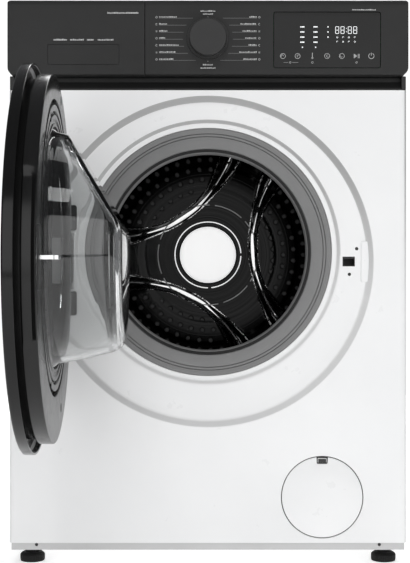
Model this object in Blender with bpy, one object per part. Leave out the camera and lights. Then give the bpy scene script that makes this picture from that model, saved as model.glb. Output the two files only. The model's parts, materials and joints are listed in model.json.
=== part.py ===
"""Front load washing machine: a cabinet, a sprung wash unit with a belt-driven drum, and a glass door.

Blender 4.5, metres, +Z up.  The machine faces -Y: the front panel lies in the plane y = 0 of the
machine frame, the floor is z = 0 and the cabinet is centred on x = 0.  The empty "machine_frame"
shifts the whole machine so that the middle of its footprint, door open, is the world origin.
"""
import math

import bmesh
import bpy
from mathutils import Matrix, Vector

# ---------------------------------------------------------------- driving dimensions, metres
# cabinet
WIDTH = 0.595
HEIGHT = 0.850
DEPTH = 0.420
SHEET = 0.0015
EDGE_RADIUS = 0.0045
PANEL_RETURN = 0.030
WORKTOP_THICK = 0.018
BASE_BOTTOM = 0.0233
BASE_WALL = 0.003
BASE_RISE = 0.0127
BASE_SIDE_CLEAR = 0.0014
PANEL_BOTTOM = 0.034
GAP = 0.0003
SEAM = 0.0008
WELD_DISTANCE = 0.00003

# control fascia and grip strip
FASCIA_HEIGHT = 0.116
FASCIA_PROUD = 0.012
FASCIA_OVERHANG = 0.0015
FASCIA_WALL = 0.0025
FASCIA_TOP_RADIUS = 0.008
FASCIA_TOP_FALL = 0.005
GRIP_HEIGHT = 0.0214
GRIP_LEDGE = 0.004
GRIP_RECESS = 0.016

# programme knob, window and electronics
KNOB_DROP = 0.0624
KNOB_FACE_R = 0.0277
KNOB_SKIRT_R = KNOB_FACE_R + 0.0033
KNOB_LENGTH = 0.018
KNOB_SKIRT = 0.003
STEM_R = 0.003
STEM_HOLE_R = 0.0045
STEM_INSIDE = 0.0135
WINDOW_X = (0.098, 0.257)
WINDOW_BELOW_TOP = (0.023, 0.106)
WINDOW_THICK = 0.0022
BOARD_X = (-0.060, 0.270)
BOARD_THICK = 0.0016
BOARD_SETBACK = 0.004
BOARD_MARGIN = 0.010
ENCODER_R = 0.009
ENCODER_FRONT_Y = -0.006
DISPLAY_INSET = 0.007

# detergent drawer
DRAWER_SPLIT_X = -0.094
DRAWER_FRONT_DEPTH = 0.014
HOUSING_X = (-0.285, -0.100)
HOUSING_DEPTH = 0.215
HOUSING_WALL = 0.002
HOUSING_FLOOR_RISE = 0.0105
HOUSING_CEILING_DROP = 0.026
TRAY_CLEAR = 0.0018
TRAY_DEPTH = 0.205
TRAY_HEIGHT = 0.052
TRAY_WALL = 0.0022
TRAY_DIVIDERS = (0.40, 0.62)

# door, and the porthole and recess behind it, which follow the door's radius
DOOR_R = 0.252
DOOR_CENTRE_DROP = 0.2569
DOOR_DROP = 0.0145
RECESS_R = DOOR_R - 0.004
RECESS_SLOPE = 0.008
RECESS_DEPTH = 0.010
PORT_R = DOOR_R - 0.065
STEP_R = PORT_R + 0.012
STEP_SLOPE = 0.005
STEP_DEPTH = 0.005

# gasket
SEAL_FIT = 0.0004
SEAL_WALL = 0.0035
SEAL_FACE_R = PORT_R - 0.032
SEAL_GROOVE_R = (PORT_R - 0.013, PORT_R - 0.010)
SEAL_THROAT_R = PORT_R - 0.0375
SEAL_THROAT_Y = 0.050
CLAMP_WIRE = 0.002

# door's own pieces
DOOR_RIM = 0.014
DOOR_GROOVE = 0.006
DOOR_GROOVE_R = DOOR_R - 0.020
DOOR_INNER_R = DOOR_R - 0.014
DOOR_INNER_RIM = 0.018
DOOR_WALL = 0.003
DOOR_INSET = 0.003
DOOR_OPEN_DEG = 88.8
HINGE_X = 0.021 - DOOR_R
HINGE_Y = -0.026
PIN_R = 0.0025
LUG_R = 0.0055
LUG_SPAN = (0.034, 0.042)
HINGE_RUN_CLEAR = 0.0005
HINGE_NECK = (0.024, 0.030)
HINGE_PLATE_Y = (0.0065, 0.0097)
HINGE_POCKET_HALF = 0.050
HINGE_POCKET_REACH = 0.034
HINGE_ARM_REACH = 0.050
HINGE_ARM_PLATE = 0.003
BOWL_R = PORT_R - 0.0305
BOWL_DEPTH = 0.098
BOWL_WALL = 0.004
BOWL_FLANGE = 0.0115
BOWL_FLAT_RISE = 0.017
BOWL_SLANT = 0.60
LATCH_X = DOOR_INNER_R - 0.026
LATCH_SLOT = (0.0184, 0.0145)
HOOK_WIDTH = 0.008
HOOK_HEIGHT = 0.0055
HOOK_REACH = 0.025
HOOK_NOSE = 0.003
HOOK_PIVOT_Y = -0.006
LATCH_PLATE = (0.026, 0.075)
LATCH_PLATE_THICK = 0.0015
LOCK_X = (LATCH_X - 0.020, LATCH_X + 0.028)
LOCK_Y = (0.0170, 0.050)
LOCK_HALF_HEIGHT = 0.037

# drum and tub
DRUM_R = 0.235
DRUM_SHEET = 0.0015
DRUM_MOUTH_R = PORT_R - 0.022
DRUM_FRONT_Y = 0.0735
DRUM_BACK_Y = 0.300
LIFTER_CREST_R = DRUM_R - 0.063
LIFTER_BASE = 0.060
LIFTER_Y = (0.090, 0.285)
LIFTER_ANGLES = (60.0, 180.0, 300.0)
HUB_CAP_R = 0.0484
HUB_CAP_THICK = 0.008
TUB_GAP = 0.024
TUB_WALL = 0.003
TUB_R = DRUM_R + TUB_GAP + TUB_WALL
TUB_FRONT_Y = 0.063
TUB_SPLIT_Y = 0.190
TUB_BACK_Y = 0.335
TUB_MOUTH_R = PORT_R - 0.0126
SHAFT_R = 0.010
SHAFT_END_Y = 0.372
BEARING_R = 0.020
BEARING_WIDTH = 0.010
BEARING_FRONT_Y = 0.318
BEARING_REAR_Y = 0.334
HUB_Y = (0.315, 0.346)
HUB_WALL = 0.0145
SPIDER_THICK = 0.0115
SPIDER_ARM = (0.036, 0.022)
HEATER_R = 0.004
HEATER_SPREAD = 0.020
HEATER_Y = (0.0690, 0.220)
HEATER_GAP = 0.0125

# belt drive
PULLEY_R = 0.140
PULLEY_Y = (0.350, 0.366)
PULLEY_RIM = 0.010
PULLEY_WEB = 0.004
PULLEY_WINDOW_R = 0.028
MOTOR_X = -0.030
MOTOR_R = 0.060
MOTOR_Y = (0.190, 0.330)
MOTOR_TUB_CLEAR = 0.020
MOTOR_PULLEY_R = 0.011
MOTOR_SHAFT_R = 0.006
BELT_THICK = 0.003
BELT_MARGIN = 0.002

# suspension and counterweights
SPRING_Y = 0.245
SPRING_X = TUB_R - 0.027
SPRING_R = 0.010
SPRING_WIRE_R = 0.0015
SPRING_TURNS = 8
HANGER_DROP = 0.032
DAMPER_X = TUB_R - 0.097
DAMPER_R = 0.014
DAMPER_BORE_R = 0.0085
DAMPER_ROD_R = 0.006
DAMPER_HEIGHT = 0.1134
DAMPER_ROD_SINK = 0.070
WEIGHT_FRONT_R = (TUB_MOUTH_R + 0.0216, TUB_R - 0.006)
WEIGHT_FRONT_THICK = 0.0267
WEIGHT_FRONT_ARC = (205.0, 335.0)
WEIGHT_TOP_X = (-0.085, SPRING_X - 0.020)
WEIGHT_TOP_Y = (0.100, 0.300)
WEIGHT_TOP_RISE = 0.0528
WEIGHT_TOP_SKIRT = 0.072

# pump, filter and flap
FILTER_X = 0.1712
FLAP_R = 0.0604
FILTER_Z = PANEL_BOTTOM + 0.0081 + FLAP_R
FLAP_THICK = 0.0025
FLAP_NOTCH = (0.0166, 0.0106)
BEZEL_R = FLAP_R + 0.0051
BEZEL_Y = (0.0045, 0.0070)
SOCKET_R = 0.0304
CAP_FLANGE_R = 0.034
CAP_Y = (0.0046, 0.0085, 0.0105, 0.055)
CAP_GRIP = (0.009, 0.052)
PUMP_Y = (0.0850, 0.1500, 0.1800)
PUMP_WALL = 0.0056
PUMP_MOTOR_R = 0.024
STUB_R = 0.014
STUB_REACH = 0.071
HOSE_R = 0.013
HOSE_FIRST_SHARE = 0.20
SUMP_X = 0.060
SUMP_Y = 0.105

# rear fittings
SERVICE_R = PULLEY_R + 0.015
COVER_LAP = 0.013
COVER_BULGE = 0.010
FITTING_REACH = 0.012
VALVE_X = -0.200
VALVE_DROP = 0.068
VALVE_NOSE_R = 0.0125
VALVE_BODY = (0.048, 0.050, 0.040)
OUTLET_X = 0.235
OUTLET_Z = 0.100
OUTLET_R = 0.012
GLAND_Z = 0.160
GLAND_R = 0.009

# feet
FOOT_INSET = (0.0295, 0.040)
FOOT_PAD_R = 0.0188
FOOT_PAD_HEIGHT = 0.0136
FOOT_NUT = (0.011, 0.003)
FOOT_SPINDLE_R = 0.005
FOOT_SPINDLE_TOP = 0.060

# round pieces: segments per turn
FINE = 48
ROUND = 32
MEDIUM = 20
SMALL = 12

# ---------------------------------------------------------------- places worked out from them
HALF_WIDTH = WIDTH / 2
FASCIA_HALF = HALF_WIDTH + FASCIA_OVERHANG
FASCIA_BOTTOM = HEIGHT - FASCIA_HEIGHT
FASCIA_Y = -FASCIA_PROUD
PANEL_TOP = FASCIA_BOTTOM - GRIP_HEIGHT
TOP_Z = HEIGHT - WORKTOP_THICK
DOOR_Z = PANEL_TOP - DOOR_CENTRE_DROP
PORT_Z = DOOR_Z + DOOR_DROP
KNOB_Z = HEIGHT - KNOB_DROP
MOTOR_Z = PORT_Z - TUB_R - MOTOR_TUB_CLEAR - MOTOR_R
PULLEY_MID_Y = (PULLEY_Y[0] + PULLEY_Y[1]) / 2
REAR_INNER_Y = DEPTH - SHEET
DOOR_COVER_Y = DOOR_INSET - DOOR_INNER_RIM - DOOR_GROOVE - DOOR_RIM
BASE_TOP = BASE_BOTTOM + BASE_RISE
BASE_FLOOR = BASE_BOTTOM + BASE_WALL
FRONT_REACH = (DOOR_R - HINGE_X) * math.sin(math.radians(DOOR_OPEN_DEG)) - HINGE_Y
REAR_REACH = DEPTH + FITTING_REACH
CENTRE_Y = (REAR_REACH - FRONT_REACH) / 2


# ---------------------------------------------------------------- scene, materials and pivots
def clear_scene():
    for item in list(bpy.data.objects):
        bpy.data.objects.remove(item, do_unlink=True)


def material(name, colour, roughness, metallic=0.0, alpha=1.0):
    made = bpy.data.materials.new(name)
    made.use_nodes = True
    shader = made.node_tree.nodes["Principled BSDF"]
    shader.inputs["Base Color"].default_value = (*colour, 1.0)
    shader.inputs["Roughness"].default_value = roughness
    shader.inputs["Metallic"].default_value = metallic
    shader.inputs["Alpha"].default_value = alpha
    made.diffuse_color = (*colour, alpha)
    return made


def pivot(name, place=(0.0, 0.0, 0.0), parent=None, turn_z=0.0):
    """An empty at a place of the machine frame; pieces parented to it are drawn in that frame."""
    empty = bpy.data.objects.new(name, None)
    bpy.context.scene.collection.objects.link(empty)
    empty["place"] = place
    empty.rotation_euler.z = math.radians(turn_z)
    empty.location = Vector(place)
    if parent:
        empty.parent = parent
        empty.location = Vector(place) - Vector(parent["place"])
    return empty


# ---------------------------------------------------------------- solids
def add(name, bm, mat, holder, sharp_deg=35.0):
    """Makes the object of a closed bmesh that is drawn in the machine frame."""
    bmesh.ops.recalc_face_normals(bm, faces=bm.faces)
    mesh = bpy.data.meshes.new(name)
    bm.to_mesh(mesh)
    bm.free()
    mesh.shade_smooth()
    mesh.set_sharp_from_angle(angle=math.radians(sharp_deg))
    if mat:
        mesh.materials.append(mat)
    item = bpy.data.objects.new(name, mesh)
    bpy.context.scene.collection.objects.link(item)
    item.parent = holder
    item.location = -Vector(holder["place"])
    return item


def boolean(target, bm, operation, label):
    """Joins a tool solid to the target, or cuts it away; the tool stays as a hidden wire guide."""
    tool = add(f"{target.name}.{label}", bm, None, target.parent)
    tool.hide_render = True
    tool.display_type = "WIRE"
    step = target.modifiers.new(label, "BOOLEAN")
    step.operation = operation
    step.object = tool
    return target


def weld_booleans():
    """Closes the hair-thin edges that a Boolean can leave where two faces nearly meet."""
    for item in bpy.data.objects:
        if any(step.type == "BOOLEAN" for step in item.modifiers):
            weld = item.modifiers.new("weld", "WELD")
            weld.merge_threshold = WELD_DISTANCE


def cut(target, bm, label):
    return boolean(target, bm, "DIFFERENCE", label)


def join(target, bm, label):
    return boolean(target, bm, "UNION", label)


def ring_loft(rings, segments, axis="Y", centre=(0.0, 0.0, 0.0), closed=True):
    """A solid of revolution, or nearly: each ring is (radius, along the axis, optional centre z).

    A closed loop of rings makes a hollow ring; an open one starts and ends with flat caps, where the
    radius is 0.
    """
    bm = bmesh.new()
    loops = []
    for ring in rings:
        radius, along = ring[0], ring[1]
        centre_z = ring[2] if len(ring) > 2 else centre[2]
        steps = 1 if radius == 0.0 else segments
        loop = []
        for i in range(steps):
            angle = 2 * math.pi * i / segments
            a, b = radius * math.cos(angle), radius * math.sin(angle)
            if axis == "Y":
                place = (centre[0] + a, centre[1] + along, centre_z + b)
            elif axis == "Z":
                place = (centre[0] + a, centre[1] + b, centre[2] + along)
            else:
                place = (centre[0] + along, centre[1] + a, centre_z + b)
            loop.append(bm.verts.new(place))
        loops.append(loop)
    pairs = list(zip(loops, loops[1:]))
    if closed:
        pairs.append((loops[-1], loops[0]))
    for first, second in pairs:
        if len(first) == 1 or len(second) == 1:
            bm.faces.new(second if len(first) == 1 else first)
            continue
        for i in range(segments):
            j = (i + 1) % segments
            bm.faces.new((first[i], second[i], second[j], first[j]))
    bmesh.ops.delete(bm, geom=[v for v in bm.verts if not v.link_faces], context="VERTS")
    return bm


def cylinder(radius, low, high, axis, centre, segments=MEDIUM):
    rings = [(0.0, low), (radius, low), (radius, high), (0.0, high)]
    return ring_loft(rings, segments, axis, centre, closed=False)


def box(low, high, bevel=0.0):
    bm = bmesh.new()
    bmesh.ops.create_cube(bm, size=1.0)
    size = Vector(high) - Vector(low)
    middle = (Vector(high) + Vector(low)) / 2
    bmesh.ops.transform(bm, verts=bm.verts, matrix=Matrix.Translation(middle) @ Matrix.Diagonal((*size, 1.0)))
    if bevel:
        bmesh.ops.bevel(bm, geom=bm.edges[:], offset=bevel, segments=1, affect="EDGES", profile=0.5)
    return bm


def prism(outline, low, high, axis):
    """Extrudes a 2D outline: axis X takes (y, z) points, axis Y takes (x, z), axis Z takes (x, y)."""
    def place(point, along):
        if axis == "X":
            return (along, point[0], point[1])
        if axis == "Y":
            return (point[0], along, point[1])
        return (point[0], point[1], along)

    bm = bmesh.new()
    near = [bm.verts.new(place(point, low)) for point in outline]
    far = [bm.verts.new(place(point, high)) for point in outline]
    bm.faces.new(near)
    bm.faces.new(far)
    count = len(outline)
    for i in range(count):
        j = (i + 1) % count
        bm.faces.new((near[i], near[j], far[j], far[i]))
    return bm


def arc(cx, cy, radius, start_deg, end_deg, steps):
    """Points of an arc, both ends included."""
    points = []
    for i in range(steps + 1):
        angle = math.radians(start_deg + (end_deg - start_deg) * i / steps)
        points.append((cx + radius * math.cos(angle), cy + radius * math.sin(angle)))
    return points


def tube(name, points, radius, mat, holder, sides=8):
    """A round bar along a poly line, with flat ends, as a bevelled curve."""
    curve = bpy.data.curves.new(name, "CURVE")
    curve.dimensions = "3D"
    curve.bevel_depth = radius
    curve.bevel_resolution = max(0, sides // 2 - 2)
    curve.use_fill_caps = True
    curve.render_resolution_u = 0
    spline = curve.splines.new("POLY")
    spline.points.add(len(points) - 1)
    for knot, point in zip(spline.points, points):
        knot.co = (*point, 1.0)
    curve.materials.append(mat)
    item = bpy.data.objects.new(name, curve)
    bpy.context.scene.collection.objects.link(item)
    item.parent = holder
    item.location = -Vector(holder["place"])
    return item


def smooth_route(knots, steps):
    """Catmull-Rom points through the knots, steps to each span."""
    ends = [knots[0] * 2 - knots[1]] + knots + [knots[-1] * 2 - knots[-2]]
    points = []
    for k in range(1, len(ends) - 2):
        a, b, c, d = ends[k - 1], ends[k], ends[k + 1], ends[k + 2]
        for i in range(steps):
            t = i / steps
            points.append(0.5 * (2 * b + (c - a) * t + (2 * a - 5 * b + 4 * c - d) * t * t
                                 + (3 * b - a - 3 * c + d) * t * t * t))
    points.append(knots[-1])
    return points


# ---------------------------------------------------------------- cabinet
def make_front_panel(frame, mat):
    """A sheet channel with rounded front edges, and a round dished recess around the porthole."""
    w, r, t, d = HALF_WIDTH, EDGE_RADIUS, SHEET, PANEL_RETURN
    outline = [(-w, d)] + arc(-w + r, r, r, 180, 270, 4) + arc(w - r, r, r, 270, 360, 4) + [(w, d)]
    outline += [(w - t, d)] + arc(w - r, r, r - t, 360, 270, 4) + arc(-w + r, r, r - t, 270, 180, 4)
    outline += [(-w + t, d)]
    panel = add("front_panel", prism(outline, PANEL_BOTTOM, PANEL_TOP - GAP, "Z"), mat, frame)
    lip = 0.005
    hole = cylinder(RECESS_R - GAP, -t, 2 * t, "Y", (0, 0, DOOR_Z), FINE)
    cut(panel, hole, "recess_hole")
    front, back = GAP, t - GAP
    floor, low = RECESS_DEPTH, RECESS_DEPTH + STEP_DEPTH
    rings = [
        (RECESS_R + lip, front, DOOR_Z), (RECESS_R, front, DOOR_Z),
        (RECESS_R - RECESS_SLOPE, floor, DOOR_Z), (STEP_R, floor, PORT_Z),
        (STEP_R - STEP_SLOPE, low, PORT_Z), (PORT_R, low, PORT_Z),
        (PORT_R, low + t, PORT_Z), (STEP_R - STEP_SLOPE + t / 2, low + t, PORT_Z),
        (STEP_R + t / 2, floor + t, PORT_Z), (RECESS_R - RECESS_SLOPE + t / 2, floor + t, DOOR_Z),
        (RECESS_R + t / 2, back, DOOR_Z), (RECESS_R + lip, back, DOOR_Z),
    ]
    join(panel, ring_loft(rings, FINE), "recess")
    half_w, half_h = LATCH_SLOT[0] / 2, LATCH_SLOT[1] / 2
    slot = box((LATCH_X - half_w, RECESS_DEPTH - t, DOOR_Z - half_h),
               (LATCH_X + half_w, RECESS_DEPTH + 2 * t, DOOR_Z + half_h))
    cut(panel, slot, "latch_slot")
    opening = cylinder(FLAP_R + SEAM, -t, 2 * t, "Y", (FILTER_X, 0, FILTER_Z), ROUND)
    cut(panel, opening, "flap_opening")


def make_panels(frame, mat, inner_mat):
    for side, sign in (("left", -1), ("right", 1)):
        outer, inner = sign * HALF_WIDTH, sign * (HALF_WIDTH - SHEET)
        low_x, high_x = min(outer, inner), max(outer, inner)
        panel = add(f"side_panel_{side}", box((low_x, PANEL_RETURN + GAP, PANEL_BOTTOM),
                                              (high_x, REAR_INNER_Y - GAP, TOP_Z - GAP)), mat, frame)
        reach = sign * (SPRING_X - SPRING_R)
        hanger_z = TOP_Z - HANGER_DROP
        near, far = min(reach, inner + sign * GAP), max(reach, inner + sign * GAP)
        hanger = box((near, SPRING_Y - SPRING_R, hanger_z), (far, SPRING_Y + SPRING_R, hanger_z + SHEET * 2))
        join(panel, hanger, "spring_hanger")

    rear = add("rear_panel", box((-HALF_WIDTH, REAR_INNER_Y, PANEL_BOTTOM), (HALF_WIDTH, DEPTH, TOP_Z - GAP)),
               mat, frame)
    through = (REAR_INNER_Y - SHEET, DEPTH + SHEET)
    cut(rear, cylinder(SERVICE_R, *through, "Y", (0, 0, PORT_Z), ROUND), "service_hole")
    for label, x, z, radius in (("valve_hole", VALVE_X, HEIGHT - VALVE_DROP, VALVE_NOSE_R),
                                ("outlet_hole", OUTLET_X, OUTLET_Z, OUTLET_R),
                                ("gland_hole", OUTLET_X, GLAND_Z, GLAND_R)):
        cut(rear, cylinder(radius + SEAM, *through, "Y", (x, 0, z), SMALL), label)

    flat, bulge = DEPTH + GAP, DEPTH + COVER_BULGE
    rings = [(0.0, bulge), (SERVICE_R - 0.030, bulge), (SERVICE_R - 0.010, flat + SHEET),
             (SERVICE_R + COVER_LAP, flat + SHEET), (SERVICE_R + COVER_LAP, flat),
             (SERVICE_R - 0.011, flat), (SERVICE_R - 0.031, bulge - SHEET), (0.0, bulge - SHEET)]
    add("rear_cover", ring_loft(rings, ROUND, centre=(0, 0, PORT_Z), closed=False), inner_mat, frame)
    add("worktop", box((-HALF_WIDTH, PANEL_RETURN + GAP, TOP_Z), (HALF_WIDTH, DEPTH, HEIGHT), bevel=0.003),
        mat, frame)


def foot_places():
    x = HALF_WIDTH - FOOT_INSET[0]
    return {"front_left": (-x, FOOT_INSET[1]), "front_right": (x, FOOT_INSET[1]),
            "rear_left": (-x, DEPTH - FOOT_INSET[1]), "rear_right": (x, DEPTH - FOOT_INSET[1])}


def make_base_and_feet(frame, base_mat, foot_mat):
    side = HALF_WIDTH - SHEET - BASE_SIDE_CLEAR
    front, back = SHEET + SEAM, REAR_INNER_Y - SEAM
    base = add("base_frame", box((-side, front, BASE_BOTTOM), (side, back, BASE_TOP)), base_mat, frame)
    cut(base, box((-side + BASE_WALL, front + BASE_WALL, BASE_FLOOR),
                  (side - BASE_WALL, back - BASE_WALL, BASE_TOP + BASE_WALL)), "tray")
    for name, (x, y) in foot_places().items():
        hole = cylinder(FOOT_SPINDLE_R + GAP, BASE_BOTTOM - BASE_WALL, BASE_FLOOR + BASE_WALL,
                        "Z", (x, y, 0), SMALL)
        cut(base, hole, f"spindle_{name}")
        holder = pivot(f"foot_axis_{name}", (x, y, 0.0), frame)
        pad, nut_top = FOOT_PAD_HEIGHT, FOOT_PAD_HEIGHT + FOOT_NUT[1]
        edge = 0.002
        rings = [(0.0, 0.0), (FOOT_PAD_R - edge / 2, 0.0), (FOOT_PAD_R, edge), (FOOT_PAD_R, pad - edge),
                 (FOOT_PAD_R - edge, pad), (FOOT_NUT[0], pad), (FOOT_NUT[0], nut_top),
                 (FOOT_SPINDLE_R, nut_top), (FOOT_SPINDLE_R, FOOT_SPINDLE_TOP), (0.0, FOOT_SPINDLE_TOP)]
        add(f"foot_{name}", ring_loft(rings, SMALL, "Z", (x, y, 0), closed=False), foot_mat, holder)


# ---------------------------------------------------------------- fascia, knob and electronics
def fascia_top(y):
    """The height of the fascia's top face, which falls from the worktop towards the front."""
    return HEIGHT - FASCIA_TOP_FALL * (PANEL_RETURN - y) / (PANEL_RETURN - FASCIA_Y)


def fascia_outline(inset, back):
    """The fascia's section in (y, z): a flat face with a rounded top edge, drawn inset by its wall."""
    front, bottom = FASCIA_Y + inset, FASCIA_BOTTOM + inset
    radius = FASCIA_TOP_RADIUS - inset
    top = fascia_top(front + radius) - inset
    corner = arc(front + radius, top - radius, radius, 180, 90, 5)
    return [(back, bottom), (front, bottom)] + corner + [(back, fascia_top(back) - inset)]


def fascia_shell(name, low_x, high_x, back, mat, holder):
    shell = add(name, prism(fascia_outline(0.0, back), low_x, high_x, "X"), mat, holder)
    wall = FASCIA_WALL
    hollow = prism(fascia_outline(wall, back + wall), low_x + wall, high_x - wall, "X")
    return cut(shell, hollow, "hollow")


def make_fascia(frame, mats):
    split = DRAWER_SPLIT_X
    back = PANEL_RETURN
    fascia = fascia_shell("control_fascia", split + GAP, FASCIA_HALF, back, mats["fascia"], frame)
    carrier_front = FASCIA_Y + DRAWER_FRONT_DEPTH + 0.0005
    wall = FASCIA_WALL
    overlap = wall - GAP
    section = [(back, FASCIA_BOTTOM), (carrier_front, FASCIA_BOTTOM),
               (carrier_front, fascia_top(carrier_front)), (back, fascia_top(back))]
    join(fascia, prism(section, -FASCIA_HALF, split + overlap, "X"), "drawer_frame")
    bay = box((-FASCIA_HALF + wall, carrier_front - wall, FASCIA_BOTTOM + wall),
              (split - wall, back + wall, fascia_top(carrier_front) - wall))
    cut(fascia, bay, "drawer_bay")
    low_z, high_z = HEIGHT - WINDOW_BELOW_TOP[1], HEIGHT - WINDOW_BELOW_TOP[0]
    opening = box((WINDOW_X[0] - GAP, FASCIA_Y - wall, low_z - GAP),
                  (WINDOW_X[1] + GAP, FASCIA_Y + 2 * wall, high_z + GAP))
    cut(fascia, opening, "window_opening")
    stem_hole = cylinder(STEM_HOLE_R, FASCIA_Y - wall, FASCIA_Y + 2 * wall, "Y", (0, 0, KNOB_Z), SMALL)
    cut(fascia, stem_hole, "stem_hole")
    inset = 0.0001
    add("display_window", box((WINDOW_X[0], FASCIA_Y + inset, low_z),
                              (WINDOW_X[1], FASCIA_Y + inset + WINDOW_THICK, high_z)), mats["window"], frame)

    low, ledge = PANEL_TOP, GRIP_LEDGE
    section = [(back - GAP, low), (ledge, low), (ledge, low + 0.003), (GRIP_RECESS, low + 0.013),
               (GRIP_RECESS, FASCIA_BOTTOM - GAP), (back - GAP, FASCIA_BOTTOM - GAP)]
    add("grip_strip", prism(section, -HALF_WIDTH + 0.0005, HALF_WIDTH - 0.0005, "X"), mats["grip"], frame)

    low_z, high_z = FASCIA_BOTTOM + BOARD_MARGIN, HEIGHT - BOARD_MARGIN - 0.010
    board_back = BOARD_SETBACK + BOARD_THICK
    board = add("control_board", box((BOARD_X[0], BOARD_SETBACK, low_z), (BOARD_X[1], board_back, high_z)),
                mats["board"], frame)
    knob_centre = (0, 0, KNOB_Z)
    join(board, cylinder(ENCODER_R, ENCODER_FRONT_Y, board_back - GAP, "Y", knob_centre, SMALL), "encoder")
    cut(board, cylinder(STEM_R + GAP, FASCIA_Y, board_back + wall, "Y", knob_centre, SMALL), "encoder_bore")
    module_low = (WINDOW_X[0] + DISPLAY_INSET, FASCIA_Y + wall + GAP,
                  HEIGHT - WINDOW_BELOW_TOP[1] + DISPLAY_INSET)
    module_high = (WINDOW_X[1] - DISPLAY_INSET, board_back - GAP,
                   HEIGHT - WINDOW_BELOW_TOP[0] - DISPLAY_INSET)
    join(board, box(module_low, module_high), "display_module")


def make_knob(frame, mat):
    holder = pivot("knob_axis", (0.0, FASCIA_Y, KNOB_Z), frame)
    face = -KNOB_LENGTH
    rings = [(0.0, face), (KNOB_FACE_R - 0.002, face), (KNOB_FACE_R, face + 0.002),
             (KNOB_FACE_R, -KNOB_SKIRT - GAP), (KNOB_SKIRT_R, -KNOB_SKIRT - GAP), (KNOB_SKIRT_R, -GAP),
             (STEM_R, -GAP), (STEM_R, STEM_INSIDE), (0.0, STEM_INSIDE)]
    knob = ring_loft(rings, ROUND, centre=(0, FASCIA_Y, KNOB_Z), closed=False)
    add("program_knob", knob, mat, holder)


def make_dispenser(frame, mats):
    """The drawer's housing, fixed in the cabinet, and the drawer of front and compartment tray."""
    low_x, high_x = HOUSING_X
    floor, ceiling = FASCIA_BOTTOM + HOUSING_FLOOR_RISE, HEIGHT - HOUSING_CEILING_DROP
    front, back = BOARD_SETBACK, BOARD_SETBACK + HOUSING_DEPTH
    wall = HOUSING_WALL
    block = box((low_x, front, floor), (high_x, back, ceiling))
    housing = add("dispenser_housing", block, mats["grey"], frame)
    bay = box((low_x + wall, front - wall, floor + wall), (high_x - wall, back - wall, ceiling - wall))
    cut(housing, bay, "bay")

    holder = pivot("drawer_axis", (0.0, 0.0, FASCIA_BOTTOM), frame)
    fascia_shell("drawer_front", -FASCIA_HALF, DRAWER_SPLIT_X - GAP, FASCIA_Y + DRAWER_FRONT_DEPTH,
                 mats["fascia"], holder)
    tray_x = (low_x + wall + TRAY_CLEAR, high_x - wall - TRAY_CLEAR)
    tray_y = (FASCIA_Y + FASCIA_WALL + GAP, TRAY_DEPTH)
    tray_z = (floor + wall + GAP, floor + wall + GAP + TRAY_HEIGHT)
    tray = add("drawer_tray", box((tray_x[0], tray_y[0], tray_z[0]), (tray_x[1], tray_y[1], tray_z[1])),
               mats["grey"], holder)
    wall = TRAY_WALL
    inner = tray_x[1] - tray_x[0] - 2 * wall
    edges = [0.0, *TRAY_DIVIDERS, 1.0]
    for k, (start, end) in enumerate(zip(edges, edges[1:])):
        left = tray_x[0] + wall + inner * start + (wall / 2 if k else 0.0)
        right = tray_x[0] + wall + inner * end - (wall / 2 if end < 1.0 else 0.0)
        pocket = box((left, FASCIA_Y + DRAWER_FRONT_DEPTH + wall, tray_z[0] + wall),
                     (right, tray_y[1] - wall, tray_z[1] + wall))
        cut(tray, pocket, f"compartment_{k + 1}")


# ---------------------------------------------------------------- gasket and door
def make_seal(frame, mats):
    """The rubber bellows between the porthole's lip and the tub's mouth, with its clamp wire."""
    front = RECESS_DEPTH + STEP_DEPTH
    outer = PORT_R - SEAL_FIT
    groove_in, groove_out = SEAL_GROOVE_R
    floor = front + 0.0035
    throat, lip_y = SEAL_THROAT_R, SEAL_THROAT_Y
    wall = SEAL_WALL
    neck = TUB_MOUTH_R - SEAL_FIT
    rings = [(outer, front), (groove_out + 0.0005, front), (groove_out, floor), (groove_in, floor),
             (groove_in - 0.0005, front), (SEAL_FACE_R + 0.001, front + 0.0015),
             (throat + 0.002, front + 0.0065), (throat, lip_y), (throat + 0.002, lip_y + 0.004),
             (neck - wall, lip_y + 0.012), (neck - wall, lip_y + 0.020), (neck, lip_y + 0.020),
             (neck, lip_y + 0.009), (throat + wall + 0.0015, lip_y - 0.001),
             (throat + wall + 0.003, front + 0.009), (SEAL_FACE_R + 0.005, front + 0.0065),
             (outer, front + 0.0065)]
    add("door_seal", ring_loft(rings, ROUND, centre=(0, 0, PORT_Z)), mats["rubber"], frame)
    middle = (groove_in + groove_out) / 2
    half = CLAMP_WIRE / 2
    low, high = front + 0.001, front + 0.001 + CLAMP_WIRE
    rings = [(middle - half, low), (middle + half, low), (middle + half, high), (middle - half, high)]
    add("seal_clamp_ring", ring_loft(rings, ROUND, centre=(0, 0, PORT_Z)), mats["steel"], frame)


def bowl_depth(radius, rise):
    """How deep the bowl's outside is at a radius, and at a rise above the porthole's centre."""
    wall_profile = [(0.0, BOWL_DEPTH), (BOWL_R * 0.77, BOWL_DEPTH), (BOWL_R * 0.82, BOWL_DEPTH * 0.965),
                    (BOWL_R * 0.86, BOWL_DEPTH * 0.86), (BOWL_R * 0.915, BOWL_DEPTH * 0.50),
                    (BOWL_R * 0.958, BOWL_DEPTH * 0.12), (BOWL_R, DOOR_INSET)]
    depth = wall_profile[-1][1]
    for (r0, y0), (r1, y1) in zip(wall_profile, wall_profile[1:]):
        if radius <= r1 + 1e-9:
            depth = y0 + (y1 - y0) * (radius - r0) / (r1 - r0)
            break
    if rise > BOWL_FLAT_RISE:
        depth = min(depth, BOWL_DEPTH - BOWL_SLANT * (rise - BOWL_FLAT_RISE))
    return depth


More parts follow.
